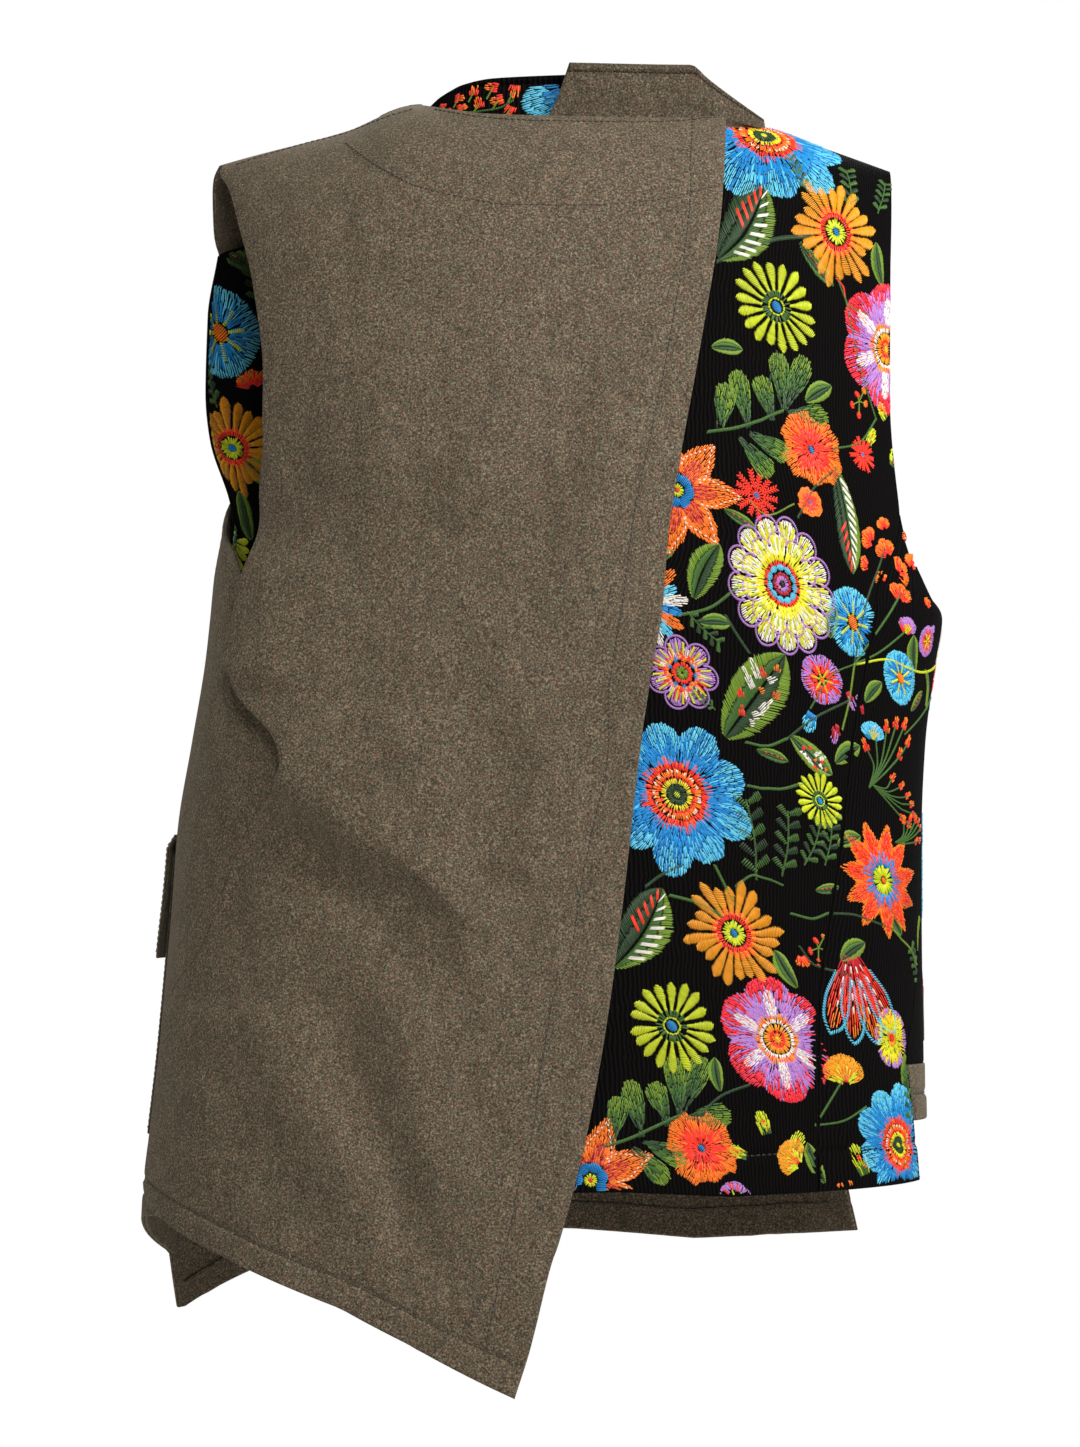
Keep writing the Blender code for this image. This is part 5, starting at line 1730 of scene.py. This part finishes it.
MOTIFS = (
    Motif(sprig, 172, -60, 8, 0.95), Motif(sprig, 188, -62, -6, 0.9), Motif(sprig, 146, -50, 30, 0.7),
    Motif(sprig, 116, -448, 8, 1.5), Motif(sprig, 131, -446, -6, 1.3), Motif(sprig, 144, -440, -22, 1.0),
    Motif(sprig, 76, -294, -125, 0.8), Motif(sprig, 205, -236, -12, 0.8), Motif(sprig, 206, -590, 10, 1.0),
    Motif(paddle_branch, 120, -178), Motif(paddle_branch, 59, -584), Motif(half_leaf, 107.7, -70, 0, 0.98),
    Motif(half_leaf, 46.7, -476), Motif(slim_leaf, 166, -241.5, 0, 1.03),
    Motif(plain_leaf, 86.5, -270.5, -4), Motif(plain_leaf, 169, -376, -30, 0.6),
    Motif(dotted_leaf, 151, -93), Motif(dotted_leaf, 125, -376, 30, 0.7),
    Motif(dotted_leaf, 157, -454, 60, 0.6), Motif(variegated_leaf, 115, -343, 12, 1.1),
    Motif(variegated_leaf, 148, -377, -70, 0.5), Motif(berry_sprig, 192, -381),
    Motif(red_berries, 176, -172, 0, 0.9), Motif(blue_flower, 122, -17, 0, 1.1),
    Motif(blue_flower, 70, -399, 20, 1.0), Motif(blue_flower, 199, -603, 40, 0.82),
    Motif(mustard_daisy, 163, -74, 0, 0.98), Motif(mustard_daisy, 103, -479, 0, 1.02),
    Motif(lime_daisy, 128, -118), Motif(lime_daisy, 67, -532, 12), Motif(lime_daisy, 153, -403, 0, 0.62),
    Motif(pink_flower, 192, -141, 0, 1.02), Motif(pink_flower, 128, -540, 14, 0.95),
    Motif(pointed_flower, 70, -224), Motif(pointed_flower, 20, -620, 20),
    Motif(star_flower, 190, -449.5, 12, 0.92), Motif(cosmos, 148, -200.5), Motif(cosmos, 84, -602, 20),
    Motif(cosmos, 147, -231, 0, 0.4), Motif(coral_flower, 116, -227),
    Motif(coral_flower, 178, -203, 0, 0.7), Motif(double_flower, 131, -278, 0, 1.08),
    Motif(blue_burst, 49, -288), Motif(lavender_flower, 73, -329), Motif(small_blue, 172, -300, 0, 1.1),
    Motif(small_blue, 200, -332, 30, 0.9), Motif(poppy, 191, -246, 20, 0.55),
    Motif(poppy, 193, -262, 30, 0.8), Motif(poppy, 207, -268, -20, 0.7), Motif(poppy, 190, -277, 40, 0.5),
    Motif(poppy, 200, -288, -15, 0.85), Motif(poppy_bud, 216, -291, -30, 0.7),
    Motif(lavender_tulip, 203, -306, -20, 0.8), Motif(lavender_bud, 219, -305, -35, 0.8),
    Motif(small_lavender, 154, -333, 0, 0.95), Motif(lavender_bud, 171, -345, -150, 0.9),
    Motif(blue_bud, 147, -357, 160), Motif(lavender_bud, 162, -364, 170),
    Motif(blue_fan, 184, -368, 0, 0.75), Motif(poppy_bud, 141.5, -491, 200, 0.9),
    Motif(ember_fan, 170, -488, -158, 1.7), Motif(yellow_lavender, 195, -541),
    Motif(mustard_fan, 168, -566, 15, 0.85), Motif(lime_bud, 120, -589, 20),
    Motif(lime_bud, 139, -600, -30), Motif(lime_bud, 183, -193, -30, 0.8),
    Motif(small_lavender, 104, -632, 0, 0.7), Motif(lime_bud, 190, -178, 40, 0.8),
    Motif(lime_bud, 196, -205, -20, 0.8), Motif(plain_leaf, 99, -142, -60, 0.5),
    Motif(plain_leaf, 196, -470, 60, 0.7), Motif(plain_leaf, 213, -478, -10, 0.8),
    Motif(plain_leaf, 222, -360, 30, 0.7), Motif(plain_leaf, 170, -426, -40, 0.5),
    Motif(sprig, 156, -440, -10, 1.0), Motif(sprig, 211, -510, 30, 0.8),
    Motif(plain_leaf, 133, -500, 60, 0.6), Motif(plain_leaf, 93, -560, 30, 0.5),
    Motif(lime_bud, 106, -605, 80, 0.8), Motif(plain_leaf, 150, -612, 50, 0.6),
    Motif(dotted_leaf, 62, -262, 70, 0.5), Motif(sprig, 92, -350, 60, 0.5),
    Motif(red_berries, 152, -488, 0, 0.9), Motif(berry_sprig, 206, -425, -40, 0.7),
    Motif(poppy_bud, 205, -252, 30, 0.8), Motif(dotted_leaf, 210, -345, 80, 0.6),
    Motif(plain_leaf, 188, -92, 40, 0.6), Motif(cosmos, 172, -640, 0, 0.8),
    Motif(poppy, 184, -254, 60, 0.7), Motif(poppy, 199, -272, -60, 0.8),
    Motif(poppy_bud, 182, -268, 80, 0.8), Motif(lime_bud, 200, -192, 0, 1.3),
    Motif(small_lavender, 202, -212, 0, 0.7), Motif(small_lavender, 216, -310, 0, 0.6),
    Motif(plain_leaf, 208, -318, 30, 0.6), Motif(plain_leaf, 184, -340, -20, 0.5),
    Motif(plain_leaf, 160, -300, 10, 0.5), Motif(lavender_bud, 176, -348, 20, 0.9),
    Motif(plain_leaf, 172, -490, -30, 0.6), Motif(plain_leaf, 205, -560, 10, 0.8),
    Motif(lime_bud, 176, -612, 30, 1.3), Motif(mustard_fan, 140, -612, 60, 0.7),
    Motif(berry_sprig, 196, -404, -70, 0.8), Motif(plain_leaf, 92, -300, -60, 0.5),
    Motif(plain_leaf, 152, -168, -30, 0.6), Motif(dotted_leaf, 106, -240, 20, 0.7),
)


def stitched(motifs, stems):
    """The stitches of all motifs, in their places on the flat pattern."""
    made = []
    for route, half, colour in stems:
        made.append(stem([flat_place(x, z) for x, z in route], half, colour))
    for motif in motifs:
        u, v = flat_place(motif.x, motif.z)
        made.append(turned(motif.make(), math.radians(motif.angle), motif.size, u, v))
    return np.concatenate(made)


# %% [markdown]
# ### The back and the side back
#
# The pattern runs on across the princess seam, as it does on cloth that was embroidered before it was
# cut. The back is sewn in an upper and a lower half, to keep each mesh small.

# %% Embroidery of the back
pattern = stitched(MOTIFS, STEMS)
print(len(pattern), "stitches in the pattern")
WOOL_COVERS = 15.0  # stitches this far behind the wool's edge can't be seen, so they are left out


def under_wool_back(turn, z):
    return turn < wool_back.edges[1](z) - WOOL_COVERS / QUARTER_GIRTH


def under_wool_front(turn, z):
    return turn > wool_front.edges[1](z) + 4 + WOOL_COVERS / QUARTER_GIRTH


HALF_WAY = -300.0  # back and front are stitched in two pieces each, above and below this level
embroider(
    "back_embroidery_upper", embroidered_back, pattern[pattern[:, 1] > HALF_WAY], under_wool_back
)
embroider(
    "back_embroidery_lower", embroidered_back, pattern[pattern[:, 1] <= HALF_WAY], under_wool_back
)
embroider("side_back_embroidery", embroidered_side, pattern)

# %% [markdown]
# ### The front
#
# The front is cut from the same cloth, so the same motifs come back, moved by one repeat of the
# pattern. What the wool front covers is left plain.

# %% Embroidery of the front
REPEAT_ACROSS = 236.0
FRONT_SHOULDER = (
    Motif(small_lavender, 150, -62, 0, 0.9), Motif(small_blue, 178, -48, 0, 0.8),
    Motif(small_blue, 122, -40, 0, 0.8), Motif(plain_leaf, 164, -92, 20, 0.8),
)
shoulder_work = [
    turned(motif.make(), math.radians(motif.angle), motif.size, *flat_place(motif.x, motif.z, FRONT_BY_RIGHT))
    for motif in FRONT_SHOULDER
]
repeats = [pattern + np.array([shift, 0, shift, 0, 0, 0]) for shift in (REPEAT_ACROSS, 2 * REPEAT_ACROSS)]
front_pattern = np.concatenate(shoulder_work + repeats)
above = front_pattern[:, 1] > HALF_WAY
embroider("front_embroidery_upper", embroidered_front, front_pattern[above], under_wool_front)
embroider("front_embroidery_lower", embroidered_front, front_pattern[~above], under_wool_front)

# %% [markdown]
# ### The left armhole
#
# The end of the embroidered front shows here through the armhole. It is the inner face of the front
# that shows, so these stitches lie on that side of the cloth.

# %% Embroidery in the left armhole
ARMHOLE = (
    Motif(dotted_leaf, 190, -84, 0, 1.3), Motif(small_blue, 195, -129, 0, 1.5),
    Motif(mustard_daisy, 190, -196, 0, 1.0), Motif(plain_leaf, 184, -236, 20, 0.8),
    Motif(lime_fan, 190, -250, 0, 0.8), Motif(poppy, 180, -160, 0, 0.9), Motif(sprig, 196, -172, 20, 0.9),
    Motif(sprig, 178, -110, -10, 1.0), Motif(small_lavender, 196, -60, 0, 0.9),
    Motif(plain_leaf, 172, -210, 70, 0.8),
)
ARMHOLE_SPREAD = 1.6  # this free end turns towards the viewer more than the form does
armhole_work = []
for motif in ARMHOLE:
    u, v = flat_place(-motif.x, motif.z, FRONT_BY_RIGHT)
    mirror = np.array([-ARMHOLE_SPREAD, 1, -ARMHOLE_SPREAD, 1, 1, 1])
    armhole_work.append(turned(motif.make(), math.radians(motif.angle), motif.size) * mirror
                        + np.array([u, v, u, v, 0, 0]))
embroider("armhole_embroidery", embroidered_front, np.concatenate(armhole_work), side=-1)


# %% [markdown]
# ### The collar
#
# The collar carries a bunch of small red berries and the edge of a blue flower.

# %% Embroidery of the collar
Berry = namedtuple("Berry", "across height")
BERRIES = (
    Berry(12, 9), Berry(19, 14), Berry(24, 8), Berry(31, 17), Berry(33, 10), Berry(41, 20), Berry(44, 12),
    Berry(51, 21), Berry(54, 14), Berry(60, 8), Berry(62, 19),
)
STAND_HEIGHT = 26.0
branch = [(berry.across, berry.height - 5.0) for berry in BERRIES[::2]]
collar_work = [stem(branch, 0.7, "fern")]
for across, height in BERRIES:
    collar_work.append(stem(((across - 3, height - 6), (across, height)), 0.5, "olive"))
    berry = petal(math.pi / 2, -3, 5, 2.9, ((0, "red"), (0.45, "orange")), tip=0.5, neck=0.7)
    collar_work.append(turned(berry, 0.15 * across, 1, across, height))
collar_work.append(petal(math.radians(200), 0, 20, 9, ((0, "blue"), (0.3, "sky")), neck=0.6, tip=0.3)
                   + np.array([84, 16, 84, 16, 0, 0]))
collar_work = np.concatenate(collar_work)
share_across = collar_work[:, [0, 2]] / (COLLAR_LAST - COLLAR_FIRST)
share_rise = collar_work[:, [1, 3]] / STAND_HEIGHT
kept = (share_rise > 0.03).all(axis=1) & (share_rise < 0.95).all(axis=1)
kept &= (share_across > 0.02).all(axis=1) & (share_across < 0.98).all(axis=1)
points, out = collar_points(*left_half, share_across[kept], share_rise[kept])
points = points + out * EMBROIDERED
away_from_cloth = unit(out.mean(axis=1))
collar_embroidery = sew(
    "collar_embroidery", points[:, 0], points[:, 1], away_from_cloth, THREAD_WIDTH, collar_work[kept, 5]
)
colour_threads(collar_embroidery, collar_work[kept, 4])
dress(collar_embroidery, thread_paint, "embroidered_cloth")


# %% [markdown]
# ## Seams and topstitching
#
# Every free edge of the wool is turned under and stitched down 18 to 19 mm from the edge, and a
# curved row of stitching holds the facing of the neck. A row is a line of short dark threads that
# sit in the groove they pull into the cloth.

# %% Topstitching
START, END, TOP, FOOT = range(4)
STITCH, STITCH_GAP, THREAD_RISE = 2.8, 0.7, 0.3


def edge_route(panel, edge, gap, first=0.0, last=1.0):
    """A line at this distance from one of a panel's edges."""
    share = np.linspace(first, last, 600)
    size, cells = (panel.width, LAY_ROWS) if edge in (START, END) else (panel.length, LAY_COLUMNS)
    part = gap / np.interp(share, np.linspace(0, 1, cells + 1), size)
    part = part if edge in (START, TOP) else 1 - part
    return panel.place(share, part) if edge in (START, END) else panel.place(part, share)


def mark_route(panel, marks):
    """A line through marks on the back."""
    x = np.linspace(marks[0].x, marks[-1].x, 400)
    z = curve(marks, "x", "z")(x)
    turn, down = turn_of(x, z, BACK, WOOL_PROUD), down_of(x, z)
    return turn, down, panel.gaps(turn, down)[2]


def topstitch(name, panel, routes, paint, slot, side=1):
    """Rows of running stitches on a panel's outer face or, with side -1, on its inner one."""
    first, last, out = [], [], []
    for turn, down, away in routes:
        flat = surface(turn, down)
        _, swell, inside = edge_finish(away, panel.turnings)
        height = panel.lift(turn, down, flat[:, 0], flat[:, 2], away)
        height = height + panel.thickness + swell + THREAD_RISE if side > 0 else height - inside - THREAD_RISE
        points, normals = raised(turn, down, height), outward(turn, down) * side
        gone = np.concatenate([[0], np.cumsum(np.linalg.norm(np.diff(points, axis=0), axis=1))])
        at = np.arange(1.5, gone[-1] - STITCH - 1, STITCH + STITCH_GAP)
        for made, field, place in ((first, points, at), (last, points, at + STITCH), (out, normals, at)):
            made.append(np.stack([np.interp(place, gone, field[:, i]) for i in range(3)], axis=-1))
    made = sew(name, np.concatenate(first), np.concatenate(last), unit(np.concatenate(out)), 1.0, 0.45)
    dress(made, paint, slot)
    return made


wool_thread = sewing_thread("brown sewing thread", "#42382C")
black_thread = sewing_thread("black sewing thread", "#100E0D")
topstitch(
    "wool_back_topstitching", wool_back,
    [edge_route(wool_back, END, SIDE_TURNING, 0.0, 0.985),
     edge_route(wool_back, FOOT, HEM_TURNING, 0.02, 0.99)]
    + [mark_route(wool_back, line) for line in ACROSS_LINES], wool_thread, "felted_wool",
)
topstitch(
    "wool_front_topstitching", wool_front,
    [edge_route(wool_front, END, SIDE_TURNING, 0.01, 0.985),
     edge_route(wool_front, FOOT, HEM_TURNING, 0.02, 0.98)],
    wool_thread, "felted_wool",
)
topstitch(
    "wool_front_hem_inside", wool_front, [edge_route(wool_front, FOOT, HEM_TURNING, 0.02, 0.98)], wool_thread,
    "felted_wool", side=-1,
)
topstitch(
    "hem_band_topstitching", hem_band, [edge_route(hem_band, FOOT, BAND_TURNING)], wool_thread, "felted_wool"
)
for panel, label in ((pocket, "pocket_patch"), (flap, "pocket_flap")):
    topstitch(
        label + "_topstitching", panel,
        [edge_route(panel, edge, 4) for edge in (START, END, FOOT)], wool_thread, "felted_wool",
    )
topstitch(
    "embroidered_hem_topstitching", embroidered_back,
    [edge_route(embroidered_back, FOOT, EMBROIDERED_TURNING, 0.3, 0.99)], black_thread, "embroidered_cloth",
)


# %% [markdown]
# ## The cut
#
# Last, a row of the table Cut names a piece of cloth, the width and length of the rectangle that its
# flat cut fits in, the area of the cut, as none of the cuts is a true rectangle, and what it rests on.

# %% Sheets of cloth
Cut = namedtuple("Cut", "piece width length area rests_on")
